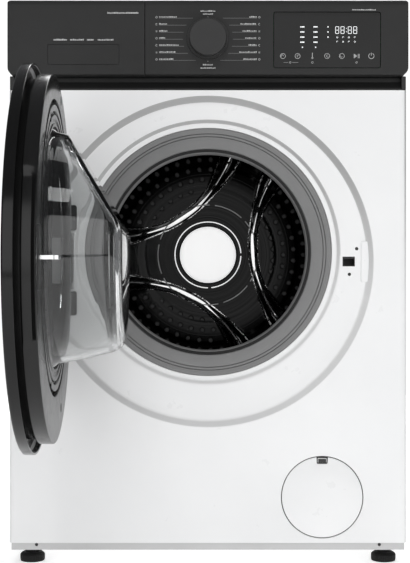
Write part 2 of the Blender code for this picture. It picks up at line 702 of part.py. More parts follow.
def make_bowl(holder, mat):
    shares = (0.958, 0.915, 0.86, 0.82, 0.77, 0.50, 0.25)
    low, high = -BOWL_WALL + DOOR_INSET - DOOR_WALL - GAP, DOOR_INSET - DOOR_WALL - GAP
    flange = BOWL_R + BOWL_FLANGE
    segments = ROUND
    bm = bmesh.new()

    def loop(radius, depth_of):
        made = []
        for i in range(segments):
            angle = 2 * math.pi * i / segments
            x, rise = radius * math.cos(angle), radius * math.sin(angle)
            made.append(bm.verts.new((x, depth_of(rise), PORT_Z + rise)))
        return made

    loops = [loop(flange, lambda rise: high), loop(BOWL_R, lambda rise: high),
             loop(BOWL_R, lambda rise: DOOR_INSET)]
    for share in shares:
        loops.append(loop(BOWL_R * share, lambda rise, share=share: bowl_depth(BOWL_R * share, rise)))
    outer_tip = bm.verts.new((0.0, BOWL_DEPTH, PORT_Z))
    inner_tip = bm.verts.new((0.0, BOWL_DEPTH - BOWL_WALL, PORT_Z))
    inner_loops = []
    for share in reversed(shares):
        inner_loops.append(loop((BOWL_R - BOWL_WALL) * share,
                                lambda rise, share=share: bowl_depth(BOWL_R * share, rise) - BOWL_WALL))
    inner_loops += [loop(BOWL_R - BOWL_WALL, lambda rise: low), loop(flange, lambda rise: low)]

    def skin(chain):
        for first, second in zip(chain, chain[1:]):
            for i in range(segments):
                j = (i + 1) % segments
                bm.faces.new((first[i], second[i], second[j], first[j]))

    skin(loops)
    skin(inner_loops)
    skin([inner_loops[-1], loops[0]])
    for i in range(segments):
        j = (i + 1) % segments
        bm.faces.new((loops[-1][i], outer_tip, loops[-1][j]))
        bm.faces.new((inner_loops[0][i], inner_loops[0][j], inner_tip))
    add("door_bowl", bm, mat, holder, sharp_deg=50.0)


def make_door(frame, mats):
    """The door is drawn shut and turned open about its hinge axis."""
    holder = pivot("door_axis", (HINGE_X, HINGE_Y, DOOR_Z), frame, turn_z=-DOOR_OPEN_DEG)
    out, wall = DOOR_COVER_Y, DOOR_WALL
    rim_end = out + DOOR_RIM
    rings = [(0.0, out), (DOOR_R - 0.005, out), (DOOR_R, out + 0.005), (DOOR_R, rim_end),
             (DOOR_R - wall, rim_end), (DOOR_R - wall, out + 0.006), (DOOR_R - 0.006, out + wall),
             (0.0, out + wall)]
    add("door_cover", ring_loft(rings, FINE, centre=(0, 0, DOOR_Z), closed=False), mats["gloss"], holder)

    face = DOOR_INSET
    groove_end = face - DOOR_INNER_RIM
    bore = BOWL_R + 2 * GAP
    rings = [(bore, face, PORT_Z), (DOOR_INNER_R - 0.0015, face, DOOR_Z),
             (DOOR_INNER_R, face - 0.0015, DOOR_Z),
             (DOOR_INNER_R, groove_end, DOOR_Z), (DOOR_GROOVE_R, groove_end, DOOR_Z),
             (DOOR_GROOVE_R, out + wall + GAP, DOOR_Z), (DOOR_GROOVE_R - wall, out + wall + GAP, DOOR_Z),
             (DOOR_GROOVE_R - wall, groove_end + wall, DOOR_Z),
             (DOOR_INNER_R - wall, groove_end + wall, DOOR_Z),
             (DOOR_INNER_R - wall, face - wall, DOOR_Z), (bore, face - wall, PORT_Z)]
    door_frame = add("door_frame", ring_loft(rings, FINE), mats["gloss"], holder)
    pocket = box((-DOOR_R, out + wall / 2, DOOR_Z - HINGE_POCKET_HALF),
                 (HINGE_X + HINGE_POCKET_REACH, face + wall, DOOR_Z + HINGE_POCKET_HALF))
    cut(door_frame, pocket, "hinge_pocket")
    plate_x, plate_z = LATCH_PLATE[0] / 2, LATCH_PLATE[1] / 2
    plate = box((LATCH_X - plate_x, face - wall / 2, DOOR_Z - plate_z),
                (LATCH_X + plate_x, face + LATCH_PLATE_THICK, DOOR_Z + plate_z))
    join(door_frame, plate, "latch_plate")
    slack = 0.0018
    slot = box((LATCH_X - HOOK_WIDTH / 2 - slack, face - 2 * wall, DOOR_Z - HOOK_HEIGHT / 2 - slack / 2),
               (LATCH_X + HOOK_WIDTH / 2 + slack, face + 2 * wall, DOOR_Z + HOOK_HEIGHT / 2 + slack / 2))
    cut(door_frame, slot, "hook_slot")
    make_bowl(holder, mats["glass"])

    hook_axis = pivot("hook_axis", (LATCH_X, HOOK_PIVOT_Y, DOOR_Z), holder)
    half, tip = HOOK_WIDTH / 2, face + HOOK_REACH
    outline = [(LATCH_X - half, HOOK_PIVOT_Y - half), (LATCH_X + half, HOOK_PIVOT_Y - half),
               (LATCH_X + half, tip - 0.006), (LATCH_X + half + HOOK_NOSE, tip - 0.006),
               (LATCH_X + half, tip), (LATCH_X - half, tip)]
    hook = prism(outline, DOOR_Z - HOOK_HEIGHT / 2, DOOR_Z + HOOK_HEIGHT / 2, "Z")
    add("door_hook", hook, mats["steel"], hook_axis)

    make_hinge(frame, holder, mats)
    lock = add("door_lock", box((LOCK_X[0], LOCK_Y[0], DOOR_Z - LOCK_HALF_HEIGHT),
                                (LOCK_X[1], LOCK_Y[1], DOOR_Z + LOCK_HALF_HEIGHT)), mats["dark"], frame)
    slot = box((LATCH_X - LATCH_SLOT[0] / 2, LOCK_Y[0] - wall, DOOR_Z - LATCH_SLOT[1] / 2),
               (LATCH_X + LATCH_SLOT[0] / 2, LOCK_Y[1] - 2 * wall, DOOR_Z + LATCH_SLOT[1] / 2))
    cut(lock, slot, "hook_slot")


def make_hinge(frame, door_axis, mats):
    """A goose-neck bracket on the recess floor, the pin, and the door's arm between the lugs."""
    x, y, z = HINGE_X, HINGE_Y, DOOR_Z
    near, far = LUG_SPAN
    neck_in, neck_out = x + HINGE_NECK[0], x + HINGE_NECK[1]
    plate_front, plate_back = HINGE_PLATE_Y
    bracket = add("hinge_bracket", box((x, plate_front, z - far - 0.002),
                                       (neck_out, plate_back, z + far + 0.002)), mats["dark"], frame)
    root = plate_front + GAP
    lug = [(neck_out - GAP, root), (neck_out - GAP, y - LUG_R)] + arc(x, y, LUG_R, 270, 90, 8)
    lug += [(neck_in, y + LUG_R), (neck_in, root)]
    for label, low, high in (("lower", z - far, z - near), ("upper", z + near, z + far)):
        join(bracket, prism(lug, low, high, "Z"), f"lug_{label}")
        cut(bracket, cylinder(PIN_R + GAP, low - GAP, high + GAP, "Z", (x, y, 0), SMALL), f"bore_{label}")
    pin = cylinder(PIN_R, z - far - 0.002, z + far + 0.002, "Z", (x, y, 0), SMALL)
    add("hinge_pin", pin, mats["steel"], frame)

    reach = near - HINGE_RUN_CLEAR
    eye = LUG_R - GAP / 2
    plate_top = y - LUG_R + HINGE_ARM_PLATE
    plate_start = math.degrees(math.asin((plate_top - y) / eye))
    end = x + HINGE_ARM_REACH
    boss = end - 0.013
    outline = arc(x, y, eye, plate_start, 270, 12)
    under = DOOR_INSET - DOOR_WALL - GAP
    outline += [(end, y - eye), (end, under), (boss, under), (boss, plate_top)]
    arm = add("hinge_arm", prism(outline, z - reach, z + reach, "Z"), mats["dark"], door_axis)
    cut(arm, cylinder(PIN_R + GAP, z - reach - GAP, z + reach + GAP, "Z", (x, y, 0), SMALL), "bore")


# ---------------------------------------------------------------- wash unit
def make_tub(unit, mats):
    t, r = TUB_WALL, TUB_R
    collar = 0.003
    y0, y1, y2 = TUB_FRONT_Y, TUB_SPLIT_Y, TUB_BACK_Y
    round_off = 0.006
    front = [(TUB_MOUTH_R, y0 - collar), (TUB_MOUTH_R + t, y0 - collar), (TUB_MOUTH_R + t, y0),
             (r - round_off, y0), (r, y0 + round_off), (r, y1 - GAP), (r - t, y1 - GAP),
             (r - t, y0 + t + round_off), (r - t - round_off, y0 + t), (TUB_MOUTH_R, y0 + t)]
    add("tub_front", ring_loft(front, ROUND, centre=(0, 0, PORT_Z)), mats["tub"], unit)
    bore = BEARING_R + GAP
    hub = bore + HUB_WALL
    rear = [(r, y1), (r, y2 - round_off), (r - round_off, y2), (hub, y2), (hub, HUB_Y[1]), (bore, HUB_Y[1]),
            (bore, HUB_Y[0]), (hub - t, HUB_Y[0]), (hub + t, y2 - t), (r - t - round_off, y2 - t),
            (r - t, y2 - t - round_off), (r - t, y1)]
    tub = add("tub_rear", ring_loft(rear, ROUND, centre=(0, 0, PORT_Z)), mats["tub"], unit)
    lug_top = spring_seat_z()
    for side, sign in (("left", -1), ("right", 1)):
        low_x, high_x = sorted((sign * (SPRING_X - 0.0115), sign * (SPRING_X + 0.0115)))
        lug = box((low_x, SPRING_Y - SPRING_R, lug_top - 0.012), (high_x, SPRING_Y + SPRING_R, lug_top))
        join(tub, lug, f"spring_lug_{side}")

    for name, start in (("bearing_front", BEARING_FRONT_Y), ("bearing_rear", BEARING_REAR_Y)):
        end = start + BEARING_WIDTH
        rings = [(SHAFT_R + GAP, start), (BEARING_R, start), (BEARING_R, end), (SHAFT_R + GAP, end)]
        add(name, ring_loft(rings, MEDIUM, centre=(0, 0, PORT_Z)), mats["steel"], unit)

    low, high = WEIGHT_FRONT_R
    start, end = WEIGHT_FRONT_ARC
    outline = arc(0, PORT_Z, high, start, end, 16) + arc(0, PORT_Z, low, end, start, 16)
    front_y = TUB_FRONT_Y - GAP - WEIGHT_FRONT_THICK
    add("front_counterweight", prism(outline, front_y, TUB_FRONT_Y - GAP, "Y"), mats["concrete"], unit)
    top = PORT_Z + TUB_R + WEIGHT_TOP_RISE
    block = box((WEIGHT_TOP_X[0], WEIGHT_TOP_Y[0], PORT_Z + TUB_R - WEIGHT_TOP_SKIRT),
                (WEIGHT_TOP_X[1], WEIGHT_TOP_Y[1], top), bevel=0.006)
    weight = add("top_counterweight", block, mats["concrete"], unit)
    saddle_y = (WEIGHT_TOP_Y[0] - 0.01, WEIGHT_TOP_Y[1] + 0.01)
    saddle = cylinder(TUB_R + 2 * GAP, *saddle_y, "Y", (0, 0, PORT_Z), ROUND)
    cut(weight, saddle, "saddle")

    heater_z = PORT_Z - DRUM_R - HEATER_GAP
    y_front, y_back = HEATER_Y
    bend = [Vector((p[0], p[1], heater_z)) for p in arc(0, y_back - HEATER_SPREAD, HEATER_SPREAD, 0, 180, 8)]
    ends = [Vector((side * HEATER_SPREAD, y_front, heater_z)) for side in (1, -1)]
    route = [ends[0], *bend, ends[1]]
    tube("heater", route, HEATER_R, mats["steel"], unit, sides=8)


def spring_seat_z():
    """The top of the tub's spring lugs: a little above the tub's side where the springs hang."""
    return PORT_Z + math.sqrt(TUB_R ** 2 - (SPRING_X - 0.0115) ** 2) - 0.001


def make_suspension(frame, unit, mats):
    low, high = spring_seat_z() + 0.0005, TOP_Z - HANGER_DROP - 0.0005
    wire = SPRING_WIRE_R
    tub_side = PORT_Z - math.sqrt(TUB_R ** 2 - (DAMPER_X - DAMPER_ROD_R) ** 2)
    base = BASE_FLOOR + GAP
    for side, sign in (("left", -1), ("right", 1)):
        x = sign * SPRING_X
        steps = SPRING_TURNS * 8
        points = []
        for i in range(steps + 1):
            turn = 2 * math.pi * SPRING_TURNS * i / steps
            z = low + wire + (high - low - 2 * wire) * i / steps
            coil = SPRING_R - wire
            points.append(Vector((x + coil * math.cos(turn), SPRING_Y + coil * math.sin(turn), z)))
        tube(f"suspension_spring_{side}", points, wire, mats["steel"], frame, sides=4)

        x = sign * DAMPER_X
        rings = [(0.0, 0.0), (DAMPER_R, 0.0), (DAMPER_R, DAMPER_HEIGHT), (DAMPER_BORE_R, DAMPER_HEIGHT),
                 (DAMPER_BORE_R, 0.018), (0.0, 0.018)]
        body = ring_loft(rings, SMALL, "Z", (x, SPRING_Y, base), closed=False)
        add(f"damper_cylinder_{side}", body, mats["dark"], frame)
        rod = cylinder(DAMPER_ROD_R, DAMPER_ROD_SINK, tub_side - GAP, "Z", (x, SPRING_Y, 0), SMALL)
        add(f"damper_rod_{side}", rod, mats["steel"], unit)


def make_motor(unit, mats):
    x, z = MOTOR_X, MOTOR_Z
    y0, y1 = MOTOR_Y
    edge = 0.006
    bore, bore_depth = MOTOR_SHAFT_R + GAP, 0.030
    rings = [(0.0, y0), (MOTOR_R - edge, y0), (MOTOR_R, y0 + edge),
             (MOTOR_R, y1 - edge), (MOTOR_R - edge, y1),
             (bore, y1), (bore, y1 - bore_depth), (0.0, y1 - bore_depth)]
    body = ring_loft(rings, MEDIUM, centre=(x, 0, z), closed=False)
    motor = add("motor_housing", body, mats["motor"], unit)
    tub_low = PORT_Z - TUB_R - GAP
    for label, y in (("front", y0 + 0.012), ("rear", y1 - 0.032)):
        join(motor, box((x - 0.020, y, z + MOTOR_R / 2), (x + 0.020, y + 0.012, tub_low)), f"mount_{label}")

    holder = pivot("motor_axis", (x, PULLEY_MID_Y, z), unit)
    p0, p1 = PULLEY_Y
    rings = [(0.0, y1 - bore_depth + GAP), (MOTOR_SHAFT_R, y1 - bore_depth + GAP), (MOTOR_SHAFT_R, p0),
             (MOTOR_PULLEY_R, p0), (MOTOR_PULLEY_R, p1), (0.0, p1)]
    add("motor_pulley", ring_loft(rings, SMALL, centre=(x, 0, z), closed=False), mats["steel"], holder)

    add("drive_belt", belt_solid(), mats["rubber"], unit)


def belt_loop(extra):
    """The belt's line in (x, z) around both pulleys, standing off them by an extra distance."""
    dx, dz = MOTOR_X, MOTOR_Z - PORT_Z
    span = math.hypot(dx, dz)
    heading = math.degrees(math.atan2(dz, dx))
    lean = math.degrees(math.acos((PULLEY_R - MOTOR_PULLEY_R) / span))
    big_steps, small_steps = 30, 8
    big_sweep, small_sweep = 360 - 2 * lean, 2 * lean
    big = (PULLEY_R + extra) / math.cos(math.radians(big_sweep / big_steps / 2))
    small = (MOTOR_PULLEY_R + extra) / math.cos(math.radians(small_sweep / small_steps / 2))
    points = arc(0, PORT_Z, big, heading + lean, heading + 360 - lean, big_steps)
    points += arc(MOTOR_X, MOTOR_Z, small, heading - lean, heading + lean, small_steps)
    return points


def belt_solid():
    bm = bmesh.new()
    low, high = PULLEY_Y[0] + BELT_MARGIN, PULLEY_Y[1] - BELT_MARGIN
    rims = []
    inside, outside = 2 * GAP, 2 * GAP + BELT_THICK
    for extra, y in ((inside, low), (outside, low), (outside, high), (inside, high)):
        rims.append([bm.verts.new((x, y, z)) for x, z in belt_loop(extra)])
    count = len(rims[0])
    for first, second in zip(rims, rims[1:] + rims[:1]):
        for i in range(count):
            j = (i + 1) % count
            bm.faces.new((first[i], second[i], second[j], first[j]))
    return bm


# ---------------------------------------------------------------- drum
def lifter_solid(angle_deg):
    """A rounded paddle on the drum's wall, sloped at both ends."""
    half = LIFTER_BASE / 2
    wall = (DRUM_R - DRUM_SHEET) * math.cos(math.pi / ROUND)
    base = math.sqrt(wall ** 2 - half ** 2) - GAP
    rise = base - LIFTER_CREST_R
    section = [(-1.0, 0.0), (-0.73, 0.44), (-0.33, 0.90), (0.0, 1.0), (0.33, 0.90), (0.73, 0.44), (1.0, 0.0)]
    y0, y1 = LIFTER_Y
    slope = 0.022
    stations = [(y0, 0.35), (y0 + slope, 1.0), (y1 - slope, 1.0), (y1, 0.35)]
    angle = math.radians(angle_deg)
    outward = Vector((math.cos(angle), 0, math.sin(angle)))
    across = Vector((-math.sin(angle), 0, math.cos(angle)))
    bm = bmesh.new()
    rows = []
    for y, height in stations:
        row = []
        for side, up in section:
            radius = base - rise * up * height
            point = outward * radius + across * half * side + Vector((0, y, PORT_Z))
            row.append(bm.verts.new(point))
        rows.append(row)
    count = len(section)
    for first, second in zip(rows, rows[1:]):
        for i in range(count):
            j = (i + 1) % count
            bm.faces.new((first[i], first[j], second[j], second[i]))
    bm.faces.new(rows[0])
    bm.faces.new(rows[-1])
    return bm


def make_drum(unit, mats):
    holder = pivot("drum_axis", (0.0, PULLEY_MID_Y, PORT_Z), unit)
    centre = (0, 0, PORT_Z)
    r, t, y0, y1 = DRUM_R, DRUM_SHEET, DRUM_FRONT_Y, DRUM_BACK_Y
    lip = 0.0065
    corner = 0.012
    rings = [(0.0, y1), (r - corner / 2, y1), (r, y1 - corner), (r, y0 + corner), (r - 1.6 * corner, y0),
             (DRUM_MOUTH_R, y0), (DRUM_MOUTH_R, y0 + lip), (DRUM_MOUTH_R + t, y0 + lip),
             (DRUM_MOUTH_R + t, y0 + t),
             (r - 1.6 * corner - t / 2, y0 + t), (r - t, y0 + corner + t / 2), (r - t, y1 - corner - t / 2),
             (r - corner / 2 - t / 2, y1 - t), (0.0, y1 - t)]
    add("drum_shell", ring_loft(rings, ROUND, centre=centre, closed=False), mats["drum"], holder)
    for k, angle in enumerate(LIFTER_ANGLES):
        add(f"lifter_{k + 1}", lifter_solid(angle), mats["drum"], holder)
    back = y1 - t - GAP
    front = back - HUB_CAP_THICK
    rings = [(0.0, front), (HUB_CAP_R - 0.005, front + 0.001), (HUB_CAP_R, front + 0.0035),
             (HUB_CAP_R, back), (0.0, back)]
    add("hub_cap", ring_loft(rings, ROUND, centre=centre, closed=False), mats["drum"], holder)

    s0 = y1 + GAP
    s1 = s0 + SPIDER_THICK
    outline = []
    root, tip = SPIDER_ARM[0] / 2, SPIDER_ARM[1] / 2
    reach = DRUM_R - 0.010
    hub = root * 1.9
    for angle_deg in LIFTER_ANGLES:
        angle = math.radians(angle_deg)
        for along, across in ((hub, -root), (reach, -tip), (reach, tip), (hub, root)):
            outline.append((along * math.cos(angle) - across * math.sin(angle),
                            PORT_Z + along * math.sin(angle) + across * math.cos(angle)))
    spider = add("spider", prism(outline, s0, s1, "Y"), mats["cast"], holder)
    cut(spider, cylinder(SHAFT_R + GAP, s0 - t, s1 + t, "Y", centre, MEDIUM), "shaft_seat")
    add("drum_shaft", cylinder(SHAFT_R, s0 + GAP, SHAFT_END_Y, "Y", centre, MEDIUM), mats["steel"], holder)

    p0, p1 = PULLEY_Y
    web0, web1 = PULLEY_MID_Y - PULLEY_WEB / 2, PULLEY_MID_Y + PULLEY_WEB / 2
    bore, boss = SHAFT_R + GAP, SHAFT_R + 0.012
    inner = PULLEY_R - PULLEY_RIM
    rings = [(bore, p0 - 0.0015), (boss, p0 - 0.0015), (boss, web0), (inner, web0), (inner, p0),
             (PULLEY_R, p0),
             (PULLEY_R, p1), (inner, p1), (inner, web1), (bore, web1)]
    pulley = add("drum_pulley", ring_loft(rings, ROUND, centre=centre), mats["cast"], holder)
    for k in range(5):
        angle = math.radians(10 + 72 * k)
        middle = (boss + inner) / 2
        window = cylinder(PULLEY_WINDOW_R, p0, p1, "Y",
                          (middle * math.cos(angle), 0, PORT_Z + middle * math.sin(angle)), SMALL)
        cut(pulley, window, f"window_{k + 1}")


# ---------------------------------------------------------------- pump, filter and rear fittings
def make_pump(frame, mats):
    centre = (FILTER_X, 0, FILTER_Z)
    b0, b1 = BEZEL_Y
    seat = CAP_Y[2] + GAP
    collar = CAP_FLANGE_R + 0.0025
    socket_end, volute_end, motor_end = PUMP_Y
    body_r = SOCKET_R + PUMP_WALL
    rings = [(0.0, socket_end), (SOCKET_R, socket_end), (SOCKET_R, seat), (collar, seat), (collar, b0),
             (BEZEL_R, b0), (BEZEL_R, b1), (collar + 0.002, b1), (collar + 0.002, seat + 0.002),
             (body_r, volute_end), (PUMP_MOTOR_R, volute_end), (PUMP_MOTOR_R, motor_end), (0.0, motor_end)]
    pump = add("pump_body", ring_loft(rings, ROUND, centre=centre, closed=False), mats["dark"], frame)
    stub = cylinder(STUB_R, -STUB_REACH, -SOCKET_R - PUMP_WALL / 2, "X", (FILTER_X, 0.060, FILTER_Z), SMALL)
    join(pump, stub, "sump_stub")
    catch_top = FILTER_Z + FLAP_R - 0.003
    catch = box((FILTER_X - 0.006, GAP, catch_top - 0.0055), (FILTER_X + 0.006, b1 - GAP, catch_top))
    join(pump, catch, "flap_catch")

    holder = pivot("filter_axis", (FILTER_X, 0.0, FILTER_Z), frame)
    grip_y, flange_y, seat_y, end_y = CAP_Y
    plug = SOCKET_R - 0.0004
    rings = [(0.0, flange_y), (CAP_FLANGE_R, flange_y), (CAP_FLANGE_R, seat_y), (plug, seat_y),
             (plug, end_y), (0.0, end_y)]
    cap = add("filter_cap", ring_loft(rings, MEDIUM, centre=centre, closed=False), mats["grey"], holder)
    half_w, half_h = CAP_GRIP[0] / 2, CAP_GRIP[1] / 2
    grip = box((FILTER_X - half_w, grip_y, FILTER_Z - half_h),
               (FILTER_X + half_w, flange_y + GAP, FILTER_Z + half_h))
    join(cap, grip, "grip")

    hinge_z = FILTER_Z - FLAP_R
    holder = pivot("flap_axis", (FILTER_X, 0.0, hinge_z), frame)
    flap = add("filter_flap", cylinder(FLAP_R, 0.0, FLAP_THICK, "Y", centre, ROUND), mats["white"], holder)
    notch = box((FILTER_X - FLAP_NOTCH[0] / 2, -FLAP_THICK, FILTER_Z + FLAP_R - FLAP_NOTCH[1]),
                (FILTER_X + FLAP_NOTCH[0] / 2, 2 * FLAP_THICK, FILTER_Z + FLAP_R + 0.005))
    cut(flap, notch, "finger_notch")

    sump_z = PORT_Z - math.sqrt(TUB_R ** 2 - (SUMP_X - HOSE_R) ** 2) - 0.002
    first_fall = HOSE_FIRST_SHARE * (sump_z - FILTER_Z)
    knots = [Vector((SUMP_X, SUMP_Y, sump_z)), Vector((SUMP_X, SUMP_Y - 0.004, sump_z - first_fall)),
             Vector((SUMP_X + 0.004, 0.070, FILTER_Z + 0.022)),
             Vector((FILTER_X - STUB_REACH - 0.016, 0.060, FILTER_Z)),
             Vector((FILTER_X - STUB_REACH - 0.004, 0.060, FILTER_Z))]
    tube("sump_hose", smooth_route(knots, 3), HOSE_R, mats["rubber"], frame, sides=8)


def make_rear_fittings(frame, mats):
    end = DEPTH + FITTING_REACH
    valve_z = HEIGHT - VALVE_DROP
    body_end = REAR_INNER_Y - 0.002
    half_w, half_h = VALVE_BODY[0] / 2, VALVE_BODY[2] / 2
    block = box((VALVE_X - half_w, body_end - VALVE_BODY[1], valve_z - half_h),
                (VALVE_X + half_w, body_end, valve_z + half_h), bevel=0.002)
    valve = add("inlet_valve", block, mats["white"], frame)
    nose = VALVE_NOSE_R
    join(valve, cylinder(nose, body_end - GAP, end, "Y", (VALVE_X, 0, valve_z), SMALL), "nose")
    cut(valve, cylinder(nose - 0.004, REAR_INNER_Y, end + GAP, "Y", (VALVE_X, 0, valve_z), SMALL), "bore")
    outlets = (("drain_outlet", OUTLET_Z, OUTLET_R, 0.003), ("cord_gland", GLAND_Z, GLAND_R, 0.005))
    for name, z, radius, wall in outlets:
        start = REAR_INNER_Y - 0.012
        flange_end = REAR_INNER_Y - GAP
        rings = [(radius - wall, start), (radius + 0.005, start), (radius + 0.005, flange_end),
                 (radius, flange_end),
                 (radius, end), (radius - wall, end)]
        add(name, ring_loft(rings, SMALL, centre=(OUTLET_X, 0, z)), mats["dark"], frame)


# ---------------------------------------------------------------- the machine
def make_materials():
    return {
        "white": material("white_enamel", (0.86, 0.86, 0.86), 0.35),
        "base": material("grey_enamel", (0.50, 0.50, 0.50), 0.45),
        "zinc": material("galvanised_steel", (0.60, 0.61, 0.62), 0.45, 0.8),
        "fascia": material("satin_black", (0.030, 0.030, 0.031), 0.38),
        "grip": material("grip_black", (0.015, 0.015, 0.015), 0.55),
        "gloss": material("gloss_black", (0.008, 0.008, 0.009), 0.12),
        "window": material("smoked_window", (0.010, 0.010, 0.011), 0.10),
        "board": material("board_green", (0.05, 0.22, 0.10), 0.5),
        "knob": material("knob_black", (0.022, 0.022, 0.023), 0.35),
        "grey": material("grey_plastic", (0.55, 0.56, 0.57), 0.5),
        "dark": material("dark_plastic", (0.04, 0.04, 0.04), 0.5),
        "rubber": material("grey_rubber", (0.21, 0.21, 0.21), 0.6),
        "steel": material("bright_steel", (0.70, 0.70, 0.71), 0.25, 1.0),
        "drum": material("drum_steel", (0.42, 0.42, 0.43), 0.2, 1.0),
        "glass": material("clear_glass", (0.75, 0.78, 0.78), 0.03, 0.0, 0.35),
        "tub": material("tub_plastic", (0.70, 0.70, 0.68), 0.55),
        "cast": material("cast_aluminium", (0.55, 0.56, 0.57), 0.5, 0.9),
        "motor": material("motor_steel", (0.35, 0.36, 0.37), 0.45, 0.7),
        "concrete": material("concrete", (0.42, 0.41, 0.39), 0.9),
    }


def build():
    clear_scene()
    mats = make_materials()
    frame = pivot("machine_frame")
    frame.location.y = -CENTRE_Y
    unit = pivot("wash_unit_axis", (0.0, 0.0, PORT_Z), frame)
    make_front_panel(frame, mats["white"])
    make_panels(frame, mats["white"], mats["zinc"])
    make_base_and_feet(frame, mats["base"], mats["dark"])
    make_fascia(frame, mats)
    make_knob(frame, mats["knob"])
    make_dispenser(frame, mats)
    make_seal(frame, mats)
    make_door(frame, mats)
    make_tub(unit, mats)
    make_suspension(frame, unit, mats)
    make_motor(unit, mats)
    make_drum(unit, mats)
    make_pump(frame, mats)
    make_rear_fittings(frame, mats)
    weld_booleans()


build()
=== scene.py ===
import json
import math
import random

import bmesh
import bpy
from mathutils import Matrix, Vector


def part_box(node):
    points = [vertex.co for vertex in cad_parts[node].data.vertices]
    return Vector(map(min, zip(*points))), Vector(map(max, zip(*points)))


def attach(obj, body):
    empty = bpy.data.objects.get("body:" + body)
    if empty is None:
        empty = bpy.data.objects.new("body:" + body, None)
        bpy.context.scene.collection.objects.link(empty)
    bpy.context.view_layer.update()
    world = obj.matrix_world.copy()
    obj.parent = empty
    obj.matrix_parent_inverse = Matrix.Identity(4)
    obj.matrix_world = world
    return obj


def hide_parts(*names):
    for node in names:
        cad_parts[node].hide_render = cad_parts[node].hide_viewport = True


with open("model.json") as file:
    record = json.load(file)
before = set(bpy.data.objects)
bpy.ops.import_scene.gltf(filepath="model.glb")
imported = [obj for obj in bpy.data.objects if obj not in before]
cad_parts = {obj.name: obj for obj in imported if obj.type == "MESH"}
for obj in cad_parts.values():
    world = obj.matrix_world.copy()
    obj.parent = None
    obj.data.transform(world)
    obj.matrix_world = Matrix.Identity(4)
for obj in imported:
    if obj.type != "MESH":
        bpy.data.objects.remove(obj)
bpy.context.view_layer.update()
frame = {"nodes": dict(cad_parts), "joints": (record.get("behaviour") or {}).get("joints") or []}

rng = random.Random(7)

# ---------------------------------------------------------------- places, metres, machine frame
# x to the right, y into the machine from the front panel's plane, z up; OFFSET carries it to the world
PANEL_LO, PANEL_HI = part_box("front_panel")
OFFSET = PANEL_LO.y
HALF_W = PANEL_HI.x
PANEL_TOP, PANEL_LOW = PANEL_HI.z, PANEL_LO.z
RETURN_Y = PANEL_HI.y - OFFSET
SEAL_LO, SEAL_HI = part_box("door_seal")
PORT_Z = (SEAL_LO.z + SEAL_HI.z) / 2
PORT = (0.0, PORT_Z)
COVER_LO, COVER_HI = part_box("door_cover")
DOOR_Z = (COVER_LO.z + COVER_HI.z) / 2
DOOR_R = (COVER_HI.z - COVER_LO.z) / 2
FASCIA_LO, FASCIA_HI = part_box("control_fascia")
FACE_Y = FASCIA_LO.y - OFFSET
TOP_Z = FASCIA_HI.z
TOP_FALL = 0.005
FASCIA_LOW = FASCIA_LO.z
FASCIA_HALF = FASCIA_HI.x
DRAWER_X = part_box("drawer_front")[1].x
KNOB_LO, KNOB_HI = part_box("program_knob")
KNOB_Z = (KNOB_LO.z + KNOB_HI.z) / 2
WINDOW_LO, WINDOW_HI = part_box("display_window")
FLAP_LO, FLAP_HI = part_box("filter_flap")
FLAP_X = (FLAP_LO.x + FLAP_HI.x) / 2
FLAP_R = (FLAP_HI.x - FLAP_LO.x) / 2
FLAP_Z = FLAP_LO.z + FLAP_R
DRUM_LO, DRUM_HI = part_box("drum_shell")
DRUM_R = DRUM_HI.x
DRUM_Y0, DRUM_Y1 = DRUM_LO.y - OFFSET, DRUM_HI.y - OFFSET
DOOR_HINGE = next(joint for joint in frame["joints"] if joint["name"] == "door_hinge")
HINGE = Vector(DOOR_HINGE["pos_m"])
SHUT_DEG = DOOR_HINGE["range_deg"][0]
REAR_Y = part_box("rear_panel")[1].y - OFFSET

# sizes that the looks share with the CAD
RECESS_R, RECESS_SLOPE, RECESS_Y = 0.248, 0.008, 0.010
STEP_R, STEP_SLOPE, STEP_Y = 0.199, 0.005, 0.015
LIP_R = 0.187
FRAME_R, FRAME_FACE_Y, FRAME_BACK_Y = 0.238, 0.003, -0.015
COVER_Y, COVER_END_Y = -0.035, -0.0211
BOWL_R, BOWL_DEPTH, BOWL_WALL, BOWL_RISE, BOWL_SLANT = 0.1565, 0.098, 0.0055, 0.017, 0.60
LATCH_X, LATCH_HALF_W, LATCH_HALF_H = 0.212, 0.0092, 0.00725
DRUM_SKIN = 0.0015
SEGMENTS = 192


# ---------------------------------------------------------------- materials
def shader(name, colour, rough, metallic=0.0, **sockets):
    """A Principled material; sockets are set by their names, with _ for a space."""
    mat = bpy.data.materials.new(name)
    mat.use_nodes = True
    bsdf = mat.node_tree.nodes["Principled BSDF"]
    bsdf.inputs["Base Color"].default_value = (*colour, 1.0)
    bsdf.inputs["Roughness"].default_value = rough
    bsdf.inputs["Metallic"].default_value = metallic
    for socket, value in sockets.items():
        bsdf.inputs[socket.replace("_", " ")].default_value = value
    return mat


def node(mat, kind, **values):
    made = mat.node_tree.nodes.new(kind)
    for key, value in values.items():
        if key in made.inputs:
            made.inputs[key].default_value = value
        else:
            setattr(made, key, value)
    return made


def link(mat, out, into):
    mat.node_tree.links.new(out, into)


def place(mat):
    """Object coordinates, which travel with the piece."""
    found = mat.node_tree.nodes.get("Coordinates")
    if not found:
        found = mat.node_tree.nodes.new("ShaderNodeTexCoord")
        found.name = "Coordinates"
    return found.outputs["Object"]


def noise(mat, scale, detail=4.0, stretch=(1.0, 1.0, 1.0)):
    spread = node(mat, "ShaderNodeMapping")
    spread.inputs["Scale"].default_value = stretch
    link(mat, place(mat), spread.inputs["Vector"])
    made = node(mat, "ShaderNodeTexNoise", Scale=scale, Detail=detail, Roughness=0.6)
    link(mat, spread.outputs["Vector"], made.inputs["Vector"])
    return made.outputs["Fac"]


